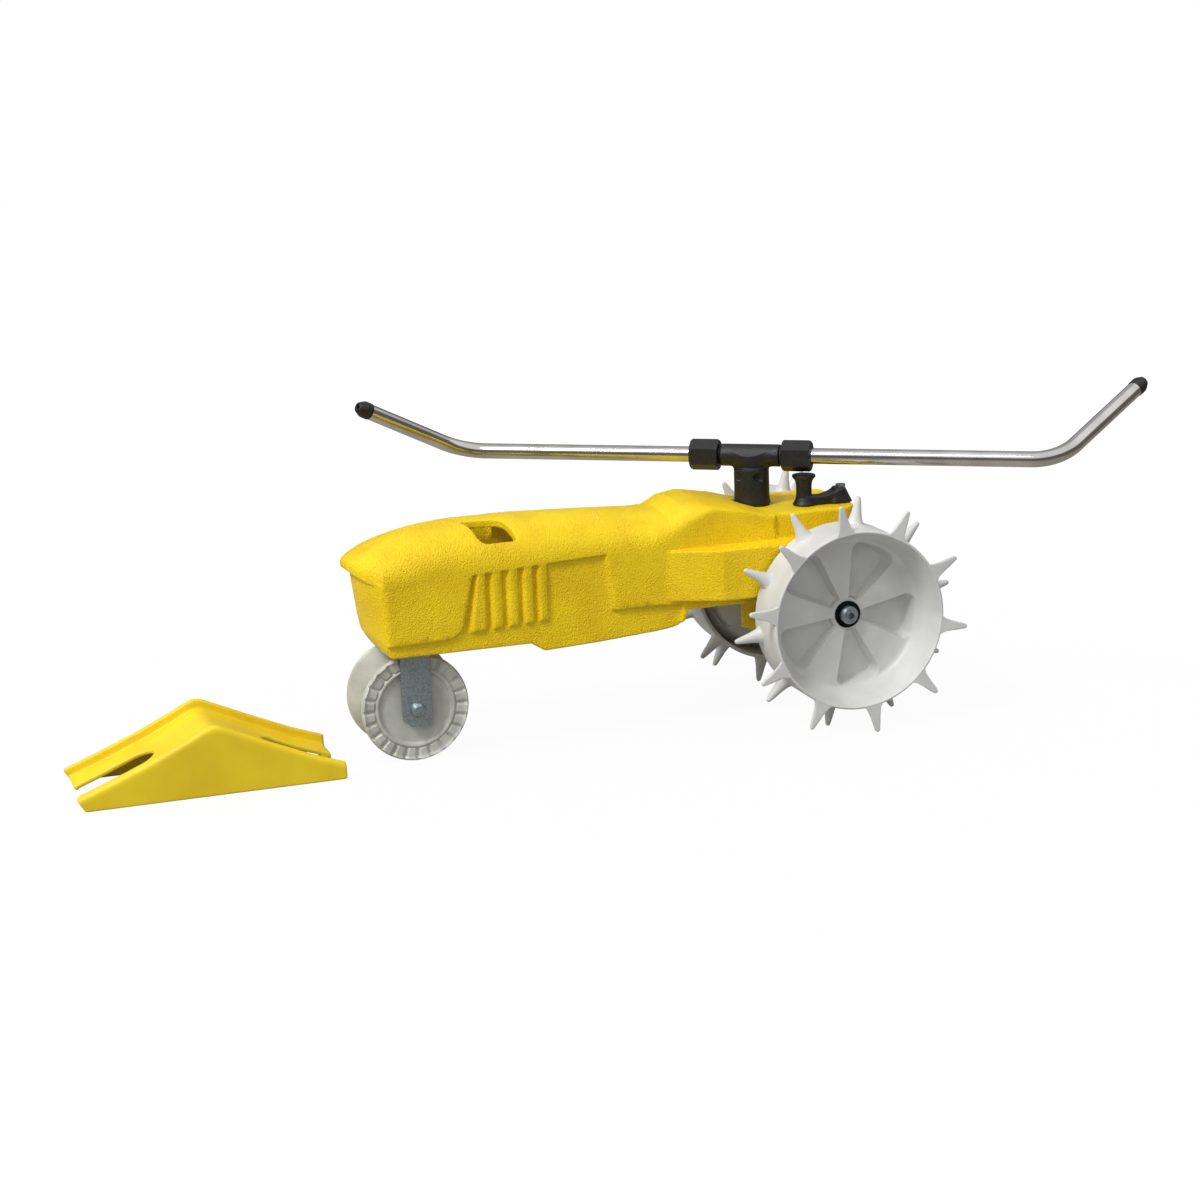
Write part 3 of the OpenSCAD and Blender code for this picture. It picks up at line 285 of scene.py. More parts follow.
def outline(a, b, corners):
    """Distance to a flat polygon: the nearest edge's distance, with its sign from an even-odd count of crossings."""
    corners = np.asarray(corners, float)
    nearest, inside = np.inf, False
    for start, end in zip(corners, np.roll(corners, -1, 0)):
        edge = end - start
        share = np.clip(((a - start[0]) * edge[0] + (b - start[1]) * edge[1]) / (edge @ edge), 0, 1)
        nearest = np.minimum(nearest, np.hypot(a - start[0] - share * edge[0], b - start[1] - share * edge[1]))
        with np.errstate(divide="ignore", invalid="ignore"):
            crossing = ((start[1] > b) != (end[1] > b)) & (a < edge[0] * (b - start[1]) / (edge[1] or 1e-12) + start[0])
        inside = inside ^ crossing
    return np.where(inside, -nearest, nearest)


def netted(distance, low, high, step):
    """Surface net: one point in each cell that the zero level crosses, the mean of its edge crossings, moved onto the
    level by two Newton steps, and one quad round each grid edge that changes side."""
    axes = [a + step * np.arange(int(np.ceil((b - a) / step)) + 1) for a, b in zip(low, high)]
    grid = distance(axes[0][:, None, None], axes[1][None, :, None], axes[2][None, None, :])
    inside = grid < 0
    cuts = (slice(None, -1), slice(1, None))
    corners = [inside[i, j, k] for i in cuts for j in cuts for k in cuts]
    crossed = np.logical_or.reduce(corners) & ~np.logical_and.reduce(corners)
    number = np.full(crossed.shape, -1)
    number[crossed] = np.arange(crossed.sum())
    cells = np.argwhere(crossed)
    total, count, quads = np.zeros(cells.shape), np.zeros(len(cells)), []
    for axis in range(3):
        b, c = (axis + 1) % 3, (axis + 2) % 3
        for near_b in (0, 1):
            for near_c in (0, 1):
                start = np.zeros(3, int)
                start[b], start[c] = near_b, near_c
                way = np.eye(3, dtype=int)[axis]
                f0, f1 = grid[tuple((cells + start).T)], grid[tuple((cells + start + way).T)]
                hit = (f0 < 0) != (f1 < 0)
                share = np.where(hit, f0 / np.where(hit, f0 - f1, 1), 0)
                total += (start + share[:, None] * way) * hit[:, None]
                count += hit
        window = [slice(1, -1)] * 3
        window[axis] = slice(None, -1)
        first = inside[tuple(window)]
        window[axis] = slice(1, None)
        change = first != inside[tuple(window)]
        edges = np.argwhere(change) + 1
        edges[:, axis] -= 1
        ring = []
        for back_b, back_c in ((1, 1), (0, 1), (0, 0), (1, 0)):
            place = edges.copy()
            place[:, b] -= back_b
            place[:, c] -= back_c
            ring.append(number[tuple(place.T)])
        ring = np.stack(ring, 1)
        flip = ~first[change]
        ring[flip] = ring[flip][:, ::-1]
        quads.append(ring)
    points = np.array(low) + step * (cells + total / count[:, None])
    reach, flattest, farthest = 0.05, 0.25, 0.45 * step
    for _ in range(2):
        here = distance(*points.T)
        slope = np.stack([(distance(*(points + d).T) - distance(*(points - d).T)) / (2 * reach)
                          for d in np.eye(3) * reach], 1)
        move = here[:, None] * slope / np.maximum((slope ** 2).sum(1, keepdims=True), flattest)
        points -= np.clip(move, -farthest, farthest)
    return points, np.concatenate(quads)


# Materials

def add(tree, kind, links=None, values=None, **settings):
    """Adds a node to a tree, with its settings, its sockets' values and its links {socket: (node, output)}."""
    made = tree.nodes.new(kind)
    for name, value in settings.items():
        setattr(made, name, value)
    for socket, value in (values or {}).items():
        made.inputs[socket].default_value = value
    for socket, (source, output) in (links or {}).items():
        tree.links.new(source.outputs[output], made.inputs[socket])
    return made


def limits(from_min, from_max, to_min, to_max):
    """The four values of a range that is mapped to another."""
    return {"From Min": from_min, "From Max": from_max, "To Min": to_min, "To Max": to_max}


def bare_tree(thing):
    """The emptied node tree of a material or world."""
    thing.use_nodes = True
    thing.node_tree.nodes.clear()
    return thing.node_tree


def surface(name, build, **sockets):
    """A material with one Principled shader. build adds the pattern's nodes and returns the links into the shader."""
    material = bpy.data.materials.new(name)
    tree = bare_tree(material)
    place = add(tree, "ShaderNodeTexCoord")
    links = build(tree, (place, "Object"))
    values = {key.replace("_", " "): value for key, value in sockets.items()}
    shader = add(tree, "ShaderNodeBsdfPrincipled", links, values)
    add(tree, "ShaderNodeOutputMaterial", {"Surface": (shader, "BSDF")})
    return material


def mottled(tree, place, colours, scale):
    """A colour that wanders between two by noise of the given scale (features per metre). A colour is sRGB hex, or one
    of the user's, which is linear already."""
    noise = add(tree, "ShaderNodeTexNoise", {"Vector": place}, {"Scale": scale, "Detail": 3.0})
    ramp = add(tree, "ShaderNodeValToRGB", {"Fac": (noise, "Fac")})
    stops = ramp.color_ramp.elements
    stops[0].position, stops[1].position = 0.35, 0.65
    stops[0].color, stops[1].color = [
        linear(colour) if isinstance(colour, str) else (*colour, 1.0) for colour in colours]
    return ramp, "Color"


def grained(tree, place, scale, detail, strength, depth):
    """A fine relief of the given depth in metres, from noise of the given scale."""
    grain = add(tree, "ShaderNodeTexNoise", {"Vector": place}, {"Scale": scale, "Detail": detail})
    bump = add(tree, "ShaderNodeBump", {"Height": (grain, "Fac")}, {"Strength": strength, "Distance": depth})
    return bump, "Normal"


def skinned(name, colours, patch, grain, **sockets):
    """A material whose colour wanders in patches of one scale under a grain of [scale, detail, strength, depth]."""
    def build(tree, place):
        return {"Base Color": mottled(tree, place, colours, patch), "Normal": grained(tree, place, *grain)}
    return surface(name, build, **sockets)


def cast_enamel():
    """Stoved yellow enamel on cast iron: glossy and level at a distance, pebbled by the sand mould under it and by fine
    beads of water, 1 to 1.5 mm across, that break up its highlights."""
    def build(tree, place):
        beads = add(tree, "ShaderNodeTexVoronoi", {"Vector": place}, {"Scale": 760.0}, feature="SMOOTH_F1")
        spread = add(tree, "ShaderNodeTexNoise", {"Vector": place}, {"Scale": 28.0, "Detail": 2.0})
        drop = add(tree, "ShaderNodeMapRange", {"Value": (beads, "Distance")}, limits(0.12, 0.42, 1.0, 0.0))
        wet = add(tree, "ShaderNodeMapRange", {"Value": (spread, "Fac")}, limits(0.25, 0.6, 0.35, 1.0))
        both = add(tree, "ShaderNodeMath", {0: (drop, "Result"), 1: (wet, "Result")}, operation="MULTIPLY")
        sand = grained(tree, place, 800.0, 2.0, 1.0, 0.0009)
        relief = add(tree, "ShaderNodeBump", {"Height": (both, "Value"), "Normal": sand},
                     {"Strength": 0.8, "Distance": 0.0004})
        gloss = add(tree, "ShaderNodeMapRange", {"Value": (both, "Value")}, limits(0.0, 1.0, 0.42, 0.2))
        return {"Base Color": mottled(tree, place, chosen("enamel"), 34.0), "Roughness": (gloss, "Result"),
                "Normal": (relief, "Normal")}
    return surface("cast iron, yellow enamel", build, IOR=1.42, Specular_IOR_Level=0.36)


def ramp_polythene():
    """Injection-moulded polythene, yellow right through: an even satin with a faint mould texture."""
    return skinned("moulded polythene, yellow", chosen("ramp"), 22.0, (700.0, 2.0, 0.25, 0.0003), IOR=1.5,
                   Roughness=0.46, Subsurface_Weight=0.06, Subsurface_Radius=(0.004, 0.003, 0.0006))


def wheel_nylon():
    """White moulded nylon: bright, slightly chalky, a little light passing through thin walls."""
    return skinned("moulded nylon, white", chosen("white"), 26.0, (520.0, 3.0, 0.22, 0.0003), IOR=1.5,
                   Roughness=0.44, Subsurface_Weight=0.05, Subsurface_Radius=(0.003, 0.0028, 0.0024))


def polythene_in_painted_shade():
    """Unpigmented polythene: milky, because light goes some way in before it comes back. Its tones are greyer than the
    nylon's, and that greyness is painted shade on the front wheel.
    """
    # The two greyer tones are painted shade, darker than the white plastic that the front wheel shares with the drive
    # wheels.
    return skinned("moulded polythene, unpigmented, painted shade", ("B4B5AB", "CBCCC4"), 60.0, (420.0, 3.0, 0.25, 0.0003), IOR=1.51,
                   Roughness=0.36, Subsurface_Weight=0.25, Subsurface_Radius=(0.006, 0.006, 0.005))


def filled_nylon():
    """Glass-filled black nylon: matt, with a coarse spark-eroded mould skin about 0.7 mm from peak to peak."""
    return skinned("glass-filled nylon, black", chosen("black"), 240.0, (900.0, 4.0, 0.6, 0.0005), IOR=1.53,
                   Roughness=0.5)


def drawn_steel():
    """Bright drawn steel tube: mirror-like, with patches a little duller from handling."""
    def build(tree, place):
        noise = add(tree, "ShaderNodeTexNoise", {"Vector": place}, {"Scale": 600.0, "Detail": 2.0})
        gloss = add(tree, "ShaderNodeMapRange", {"Value": (noise, "Fac")}, limits(0.0, 1.0, 0.1, 0.2))
        return {"Base Color": mottled(tree, place, ("B9B7B4", "CDCBC8"), 40.0), "Roughness": (gloss, "Result")}
    return surface("drawn steel tube", build, Metallic=1.0)


def zinc_plate():
    """Zinc-plated steel strip: blue-grey, with spangles 2 to 3 mm across."""
    def build(tree, place):
        spangle = add(tree, "ShaderNodeTexVoronoi", {"Vector": place}, {"Scale": 520.0})
        tone = add(tree, "ShaderNodeValToRGB", {"Fac": (spangle, "Distance")})
        tone.color_ramp.elements[0].color, tone.color_ramp.elements[1].color = linear("A9B6BA"), linear("7F8D93")
        edge = add(tree, "ShaderNodeBump", {"Height": (spangle, "Distance")}, {"Strength": 0.12, "Distance": 0.0003})
        return {"Base Color": (tone, "Color"), "Normal": (edge, "Normal")}
    return surface("zinc-plated steel", build, Metallic=0.85, Roughness=0.42)


def machined(name, colours, roughness):
    """A turned or cut metal: its colour wanders slightly and fine tool marks roughen it."""
    return skinned(name, colours, 90.0, (300.0, 3.0, 0.15, 0.0002), Metallic=1.0, Roughness=roughness)


def moulded_rubber():
    """Black moulded rubber: dull, slightly grey, with a fine bloom."""
    return skinned("moulded rubber, black", ("18181A", "29292B"), 160.0, (500.0, 3.0, 0.3, 0.0003), Roughness=0.75)


FINISHES = {}


def finish_for(slot):
    """The material for one of the record's slots, made once."""
    makers = {
        "casting_paint": cast_enamel, "ramp_plastic": ramp_polythene, "white_plastic": wheel_nylon,
        "black_plastic": filled_nylon, "tube_steel": drawn_steel, "zinc_steel": zinc_plate,
        # The front wheel's finish is the white plastic made greyer: painted shade.
        "rubber": moulded_rubber, "front_wheel": polythene_in_painted_shade,
        "gear_steel": lambda: machined("cut steel gear", ("7C7C7E", "98989A"), 0.38),
        "bronze": lambda: machined("sintered bronze", ("8F6A3A", "A97F48"), 0.45),
        "brass": lambda: machined("turned brass", ("B9913F", "CFA851"), 0.28),
        "black_washer": lambda: machined("black oxide steel", ("14161A", "24272C"), 0.45),
    }
    if slot not in FINISHES:
        FINISHES[slot] = makers[slot]()
    return FINISHES[slot]


# Shapes

def wander(rows, spread):
    """A line through [x, value] rows as a function of x, its corners eased by a Hann window of the given half width."""
    step, margin = 0.5, 30
    rows = np.array(rows, float)
    fine = np.arange(rows[0, 0] - margin, rows[-1, 0] + margin, step)
    window = np.hanning(int(spread * 2 / step) + 1)
    pad = len(window) // 2
    values = np.interp(fine, rows[:, 0], rows[:, 1])
    eased = np.convolve(np.pad(values, pad, mode="edge"), window / window.sum(), "valid")
    return lambda x: np.interp(x, fine, eased)


# The casting's lines. x is along the tractor from the front axle, A is the drive axle's x, and h is the height.

HALF_W, WALL = 45.0, 6.0
NOSE, NOSE_LEN = -46.6, 22.6
A = WHEELBASE
BAY = 29.975                    # half the length of the gear bay
REAR = A + BAY + 12.6
DECK_END = A + BAY - 1.4
LEDGE = 52.2                    # height of the ledge behind the deck
hood_top = wander([
    [-46.6, 68.4], [-42, 70.3], [-36, 73.0], [-29, 75.7], [-16, 80.4], [-3, 84.2], [10, 86.9], [22.5, 88.7], [36, 90.0],
    [51, 90.7], [92, 90.7], [154, 87.8], [A - 131.5, 84.2], [A - 118, 90.9], [A - 101, 91.2], [A - 72, DECK_H + 7.2],
    [A - 50, DECK_H + 0.8], [A - 40, DECK_H], [A + 60, DECK_H]], 1.0)
hood_shoulder = wander([
    [-46.6, 64.8], [-42, 61.2], [-37.8, 58.2], [-32.5, 55.7], [-24, 52.2], [20, 57.2], [A - 150, 57.2],
    [A - 116, 73], [A - 97, 82.5], [A - 72, DECK_H - 1], [A - 50, DECK_H - 6], [A + 60, DECK_H - 6]], 3)
hood_power = wander([[20, 2.2], [A - 150, 2.3], [A - 116, 3], [A - 90, 4.5], [A - 60, 6]], 3)
front_middle = wander([[-6.5, -21.5], [2, -28], [9, -32], [21, -34.5], [40, -37], [59, -39.4]], 3)
front_sweep = wander([[-6.5, 2], [2, 5], [9, 8.5], [21, 10.5], [40, 12], [59, 13]], 3)
LOWER = [
    [-80, -60], [-80, -5.8], [92, -5.8], [103, -12.8], [147, -10.8], [197, -7.3], [A - 134, -6.0], [A - 127.5, -4.4],
    [A - 123, -0.8], [A - 120, 4.2], [A - 119, 7.8], [REAR + 40, 7.8], [REAR + 40, -60]]
RECESS = [
    [-40, 4.5], [16, 5.2], [27, 6.4], [34, 10.2], [37.5, 17], [46, 54.2], [109, 57.5], [157.6, 59.8], [164, 15.2],
    [A - 125, 13.2], [A - 125, -60], [-40, -60]]
SLOT = [
    [47.7, 11.1], [51, 10.9], [66.5, 11.8], [73, 12.8], [76.5, 14.6], [79, 17.8], [81.1, 23.6], [83, 29.1],
    [84.2, 35.4], [83.6, 37.2], [81.8, 37.9], [60, 37.9], [56.6, 36.6], [53.8, 32.5], [51.5, 22.9], [49.5, 16.4],
    [47.2, 12]]
LOUVRES = [57.0, 70.0, 83.0, 95.0, 107.0]
FLARE = [
    [A - 138, 40], [A - 138, 44.5], [A - 101, 60.8], [A - 96, 63], [REAR - 8, 63], [REAR - 4, 59], [REAR - 4, 0],
    [A - 138, 0]]


def arch(x, y, h, w, drop):
    """Distance to the hood's arch: a superellipse |y/w|^n + ((h - s)/(t - s))^n = 1 over straight sides, by its own
    slope. s is the shoulder, t the top, n the power, and drop lowers the arch to the inside of its wall."""
    top, power = hood_top(x) - drop, hood_power(x)
    shoulder = hood_shoulder(x) - drop / 2
    across, up = np.abs(y) / w, np.maximum(h - shoulder, 0) / (top - shoulder)
    level = np.maximum(across ** power + up ** power, 1e-9) ** (1 / power)
    slope = np.hypot((across / level) ** (power - 1) / w, (up / level) ** (power - 1) / (top - shoulder))
    return (level - 1) / np.maximum(slope, 1e-3)


def side_depth(x, h):
    """How far the side stands in: the louvre depth in the panel, ramped out at its rear, with five ribs that ramp out
    and drop back."""
    panel = np.clip(-outline(x, h, RECESS) / 0.7, 0, 1)
    rear = np.clip((162.0 - (h - 15) * 0.14 - x) / 4.5, 0, 1)
    panel = panel * np.where(h > 14.5, rear, 1.0)
    first = 37.5 + (h - 17) * 0.2285
    bounds = [first + 0 * x] + [start + 0 * (x + h) for start in LOUVRES]
    rib = 0
    for left, right in zip(bounds[:-1], bounds[1:]):
        t = (x - left) / (right - left)
        rise = np.interp(t, [0, 0.04, 0.14, 0.42, 0.88, 1.0], [0, -0.6, -0.6, 1, 0.8, 0])
        rib = np.where((t >= 0) & (t <= 1), rise, rib)
    inside = np.clip((h - 7.5 - (x - 50) * 0.06) / 3, 0, 1)
    return sizes().louvre_depth * MM * panel * (1 - rib * inside)


def casting_distance(x, y, h):
    """The casting: arched hood and brim, raked front, flared gear housing, deck and hangers, less its hollows."""
    side, u = np.abs(y), x - A

    # Hood with its brim, and the front that is raked back under it
    along = np.clip((x - NOSE) / NOSE_LEN, 0.035, 1) ** 0.6
    hood = trimmed(arch(x, y, h, HALF_W * along, 0.0), NOSE - x, 2.5)
    hood = trimmed(hood, np.where(x < 16, hood_shoulder(x) - 2.6 - h, -60 - h), 0.6)
    sweep = front_middle(h) + front_sweep(h) * (side / HALF_W) ** 1.9
    low = trimmed(side - HALF_W + 0.2, sweep - x, 4.5)
    low = trimmed(low, np.maximum(h - hood_shoulder(x) - 1, x - 30), 0.6)
    low = np.maximum(low, arch(x, y, h, HALF_W, 0.0))
    body = np.maximum(blended(hood, low, 0.7), side - HALF_W + side_depth(x, h))

    # Deck with rounded corners, and the gear housing that flares out beside it
    step = 2.2 * np.clip(-trimmed(A - 43.9 - x, 57.4 - h, 9.0) / 0.7, 0, 1)
    corner = np.hypot(np.maximum(x - (DECK_END - 14), 0), np.maximum(side - (HALF_W - 14 - step), 0)) - 14
    deck = trimmed(np.where((h > LEDGE) & (x > A - 44), corner + 0 * x, x - REAR), x - REAR, 1.0)
    body = trimmed(body, deck, 2.0)
    flare = trimmed(outline(x, side, FLARE), np.abs(h - 36.7) - 20.5, 1.6)
    flare = np.maximum(flare, np.where(x > DECK_END, h - LEDGE, -50.0))
    core = block(x, y, h, (A - 60, -43, 7.8), (REAR, 43, LEDGE))
    body = trimmed(body, -outline(x, h, LOWER), 2.2)
    body = blended(blended(body, core, 0.6), flare, 1.0)

    # Hand slots, the hood's hollow round the fork's boss, and the spot face under the tee
    body = trimmed(body, -np.maximum(outline(x, side, SLOT), 40 - h), 1.0)
    hollow = arch(x, y, h, HALF_W - WALL, WALL)
    front = np.interp(h, [-6, 3, 9, 21, 40], [-18.2, -18.2, -19, -20, -21])
    hollow = trimmed(trimmed(hollow, front - x, 3.0), x - (A - 74), 3.0)
    hollow = trimmed(hollow, -np.maximum(np.hypot(x, y) - 17, np.abs(h - 23) - 18.5), 2.0)
    pocket = block(x, y, h, (A - 82, -38, -40), (A - 38, -19, 65))
    spot = rod(x - SPIN_X, y, h, 16.5, DECK_H + 0.3, DECK_H + 40)
    body = trimmed(body, -union(hollow, pocket, spot), 0.8)

    # Skirt round the gear bay, axle hangers, pan bosses, water way, valve boss and inlet boss
    over_axle = np.where((side < 53.3) & (h < 7.8), 60, 0)
    under = union(
        block(u, y, h, (-BAY - 3, -53, 0), (BAY + 3, 15, 20)),
        rod(u, h, side, 13, 53.3, 63),
        block(u, side, h, (-13, 38, 0), (13, 63, 20)) + over_axle,
        rod(np.abs(u) - 25.4, np.abs(y + 19) - 38, h, 4.5, 0, 20),
        rod(y - 27.5, h - 12, x, 6, SPIN_X - 6, REAR - 1),
        rod(x - SPIN_X, y, h, 11, -22.8, 20),
        rod(y, h - 12, x, 16, A + 30, REAR + 6))
    body = blended(body, under, 1.6)

    # Gear bay round the spinner's sleeve, and the bores of axle bushes, plunger, valve, spinner, fork bolt, inlet
    # and axle
    bay = union(
        block(u, y, h, (-BAY, -50, -5), (BAY, 12, 22)),
        block(u, y, h, (-BAY, -50, 20), (BAY, -10, 47.7)),
        block(x, y, h, (A - 29.15, -37, 20), (A + 12.85, 12, DECK_H - 9)))
    bay = np.maximum(bay, 17 - np.hypot(x - SPIN_X, y))
    bores = union(
        rod(u, h, side, 8, 50, 70),
        rod(x - SPIN_X, y, h, 8.5, -30, 16),
        rod(x - SPIN_X, y, h, 10, 15, 36),
        rod(x - SPIN_X, y, h, SPIN_BORE, 25, DECK_H + 20),
        rod(x, y, h, 5, -20, 34),
        rod(y, h - 12, x, 10, REAR - 1, REAR + 20),
        rod(u, h, y, 5.6, -58, 18))
    return trimmed(body, -np.minimum(bay, bores), 0.8)


ramp_top = wander([
    [-267, 10], [-237, 21.4], [-207, 33.6], [-183, 44.8], [-171, 51], [-166, 53.3], [-162, 54], [-157, 53.1],
    [-150, 50], [-122, 37], [-87, 21.5], [-62, 12.5]], 3)


def ramp_distance(x, y, z):
    """The ramp: its side profile between two rails, less the run over the sheet, the hollow under it and its slots."""
    middle_x, half, rail, inner, slot = -164.5, 102.5, 45, 38, 13
    side = np.abs(y + 6)
    top = ramp_top(x)
    body = trimmed((z - top) * 0.9, side - rail, 5.0)
    body = trimmed(body, np.abs(x - middle_x) - half, 1.6)
    body = np.maximum(body, -z)
    toe = (-267 - x) * 0.85 - (z - 9) * 0.53
    body = trimmed(body, toe, 1.2)
    run = trimmed((top - 8 - z) * 0.9, side - inner, 2.5)
    body = trimmed(body, -run, 2.2)
    hollow = np.maximum((z - top + 12) * 0.9, np.abs(x - middle_x) - (half - 8))
    body = trimmed(body, -np.maximum(hollow, side - inner), 1.0)
    slots = np.minimum(np.hypot(np.maximum(x + 215, 0), side), np.hypot(np.minimum(x + 105, 0), side)) - slot
    return trimmed(body, -slots, 1.6)


def spikes(radius, tip_r, rows, count, turn0):
    """Spikes round a tread: one flared, round-tipped profile of revolution, turned to each place by its own angle."""
    round_steps, tip, widest = 20, 2.0, 108.9
    root = sizes().spike_root * MM
    out = np.array([
        [root + 1.9, -2.0], [root + 0.9, -0.2], [root, 1.2], [5.1, 3.0], [4.6, 5.5], [4.0, 9.0], [3.3, 13.5],
        [2.6, 17.5]])
    cap = np.radians([12, 32, 52, 74, 90])
    out = np.vstack([out, np.stack([tip * np.cos(cap), tip_r - radius - tip + tip * np.sin(cap)], 1)])
    ring = circle(round_steps)
    stretch = 1 + 0.12 * np.clip(1 - out[:, 1] / 9, 0, 1)
    local = np.stack([out[:, :1] * np.cos(ring) * stretch[:, None], out[:, :1] * np.sin(ring),
                      radius + out[:, 1:] + 0 * ring], -1)
    parts = []
    for place, lean in rows:
        angle = np.radians(turn0 + lean + np.arange(count) * 360 / count)[:, None, None]
        x = local[None, ..., 0] * np.cos(angle) + local[None, ..., 2] * np.sin(angle)
        z = -local[None, ..., 0] * np.sin(angle) + local[None, ..., 2] * np.cos(angle)
        points = np.stack([x, np.minimum(place + local[None, ..., 1], widest) + 0 * x, z], -1)
        lid = np.repeat(points[:, :1].mean(2, keepdims=True), round_steps, 2)
        points = np.concatenate([lid, points], 1)
        levels = points.shape[1]
        starts = np.arange(count) * levels * round_steps
        faces = woven(levels, round_steps, False)[None] + starts[:, None, None]
        parts.append((points.reshape(-1, 3), faces.reshape(-1, 4)))
    return joined(parts)


def drive_wheel(way):
    """A drive wheel: one closed profile turned round the axle, its web pressed in by five wedge pockets, and two rows
    of spikes. Its web lies between 80 and 83 mm from the middle of the tractor."""
    face, back, tread = 83, 80, 72
    pitch = 72                  # degrees from one pocket to the next
    corners = [
        [5.04, 65.4], [14, 65.4], [14, back], [60.5, back], [69, 101.4], [69, 66], [tread, 66], [tread, 108], [71, 109],
        [69.9, 109], [60.2, face], [5.04, face]]
    profile = softened(corners, [0.4, 1, 2, 4, 0.8, 0.7, 1, 0.8, 0.6, 1.2, 3.0, 0.3], 4)
    profile = subdivided(profile, 0.75)
    profile = profile[np.concatenate([[True], np.linalg.norm(np.diff(profile, axis=0), axis=1) > 0.05])]

    def pocket(r, along, angle):
        turn = (np.degrees(angle) - 26) % pitch
        turn = np.where(turn > pitch / 2, turn - pitch, turn)
        deep = np.interp(r, [12, 20, 58], [3.5, 8.5, sizes().pocket_depth * MM])

        def inward(grown):
            side, end = np.radians(20.5 - np.abs(turn)) * r + grown, np.minimum(r - 12.5, 58.8 - r) + grown
            radius = np.interp(r, [20, 45], [2.5, 8.0]) + grown
            corner = radius - np.hypot(np.maximum(radius - side, 0), np.maximum(radius - end, 0))
            return np.minimum(np.minimum(side, end), corner)

        dips = [np.clip(inward(grown) / (0.26 * deep), 0, 1) for grown in (0, 2)]
        dip = np.where(np.abs(along - face) < 0.6, dips[0], np.where(np.abs(along - back) < 0.6, dips[1], 0))
        return r, along - deep * dip

    rows = ((74.5, 9.0), (107.4, -9.0))
    points, faces = joined([turned(profile, 480, pocket), spikes(tread, 93.9, rows, 10, 180.0)])
    return placed(points * [1, way, 1] + [A, 0, 0]), faces


def front_wheel():
    """The front wheel: a deep groove between two flanges, and a pie-crust band of 24 pads round each face."""
    r, half = 43.0, 28.0
    corners = [
        [4.04, half - 1], [8, half - 1], [8.6, half - 2.6], [0.66 * r, half - 2.6], [0.68 * r, half - 0.6],
        [0.7 * r, half], [0.735 * r, half], [0.76 * r, half - 2.2], [r - 3.4, half - 2.2], [r - 1.6, half - 0.8],
        [r, half - 1.6], [r, half - 4], [22, half - 17], [17, half - 21]]
    corners = np.array(corners + [[a, -b] for a, b in corners[::-1]])
    profile = subdivided(softened(corners, 0.8, 3), 1.2)

    def pads(r0, along, angle):
        band = np.clip((r0 - 0.755 * r) / 1.0, 0, 1) * np.clip((r - 0.6 - r0) / 1.0, 0, 1) * (np.abs(along) > half - 3)
        wave = np.abs(((angle * 24 / (2 * np.pi)) % 1) - 0.5) * 2
        rise = np.clip((0.98 - wave) / 0.5, 0, 1)
        return r0, along + np.sign(along) * band * sizes().pad_height * MM * rise * rise * (3 - 2 * rise)

    points, faces = turned(profile, 288, pads)
    return placed(points + [0, 0, FRONT_H]), faces


def fork_strap():
    """The fork: a 24 by 3 mm strap with rounded edges carried down one leg, over the bridge and down the other."""
    leg, foot, bridge = 31.8, FRONT_H - 14, FRONT_H + 43 + 6 + 1.5
    line = softened([[-leg, foot], [-leg, bridge], [leg, bridge], [leg, foot]], [0, 4.2, 4.2, 0], 9, closed=False)
    line = subdivided(line[(np.r_[True, np.linalg.norm(np.diff(line, axis=0), axis=1) > 1e-6])], 3.0, closed=False)
    way = np.gradient(line, axis=0)
    way /= np.linalg.norm(way, axis=1, keepdims=True)
    section = softened([[-12, -1.5], [12, -1.5], [12, 1.5], [-12, 1.5]], 0.8, 4)
    width = 1 - 0.28 * np.clip((foot + 6 - line[:, 1]) / 6, 0, 1)
    centres = np.stack([12 * (1 - width), line[:, 0], line[:, 1]], 1)
    tops = np.stack([0 * way[:, 0], -way[:, 1], way[:, 0]], 1)
    sides = np.array([1.0, 0, 0]) * width[:, None]
    points, faces = carried(section, centres, sides, tops)
    return placed(points), faces


# The arms: the front one's direction, the bend, the lean to the side, the bend's corner and the length past it
YAW, BEND, LEAN, REACH, TIP = 146.0, 58.8, 59.0, 246.0, 113.0
ROUND = 48                      # points round a tube


def on_head(points, turn, lean=0.0):
    """From an arm's own frame, X out along it, to the tractor: leant about X, turned about Z to its direction."""
    a, b = np.radians([YAW + turn, -lean])
    spin = np.array([[np.cos(a), -np.sin(a), 0], [np.sin(a), np.cos(a), 0], [0, 0, 1]])
    tilt = np.array([[1, 0, 0], [0, np.cos(b), -np.sin(b)], [0, np.sin(b), np.cos(b)]])
    return placed(np.asarray(points) @ (spin @ tilt).T + [SPIN_X, 0, ARM_H])


def spray_arm(turn):
    """An arm: a pipe's closed wall carried straight out, round the bend of 38 mm radius and up to its nozzle."""
    bend, radius = np.radians(BEND), 38.0
    run = radius * np.tan(bend / 2)
    a = np.linspace(0, bend, 25)
    middle_line = np.stack([REACH - run + radius * np.sin(a), radius * (1 - np.cos(a))], 1)
    tip = np.array([REACH, 0]) + (TIP - 6) * np.array([np.cos(bend), np.sin(bend)])
    path = np.column_stack([np.vstack([[23, 0], middle_line, tip]), np.concatenate([[0], a, [bend]])])
    path = subdivided(path, 6.0, closed=False)
    line, angle = path[:, :2], path[:, 2:]
    t = circle(ROUND)

    def wall(r):
        return np.stack([line[:, :1] - r * np.sin(t) * np.sin(angle), -r * np.cos(t) + 0 * line[:, :1],
                         line[:, 1:] + r * np.sin(t) * np.cos(angle)], -1)

    points = np.concatenate([wall(6.35), wall(5.2)[::-1]])
    return on_head(points.reshape(-1, 3), turn, LEAN), woven(len(points), ROUND, True)


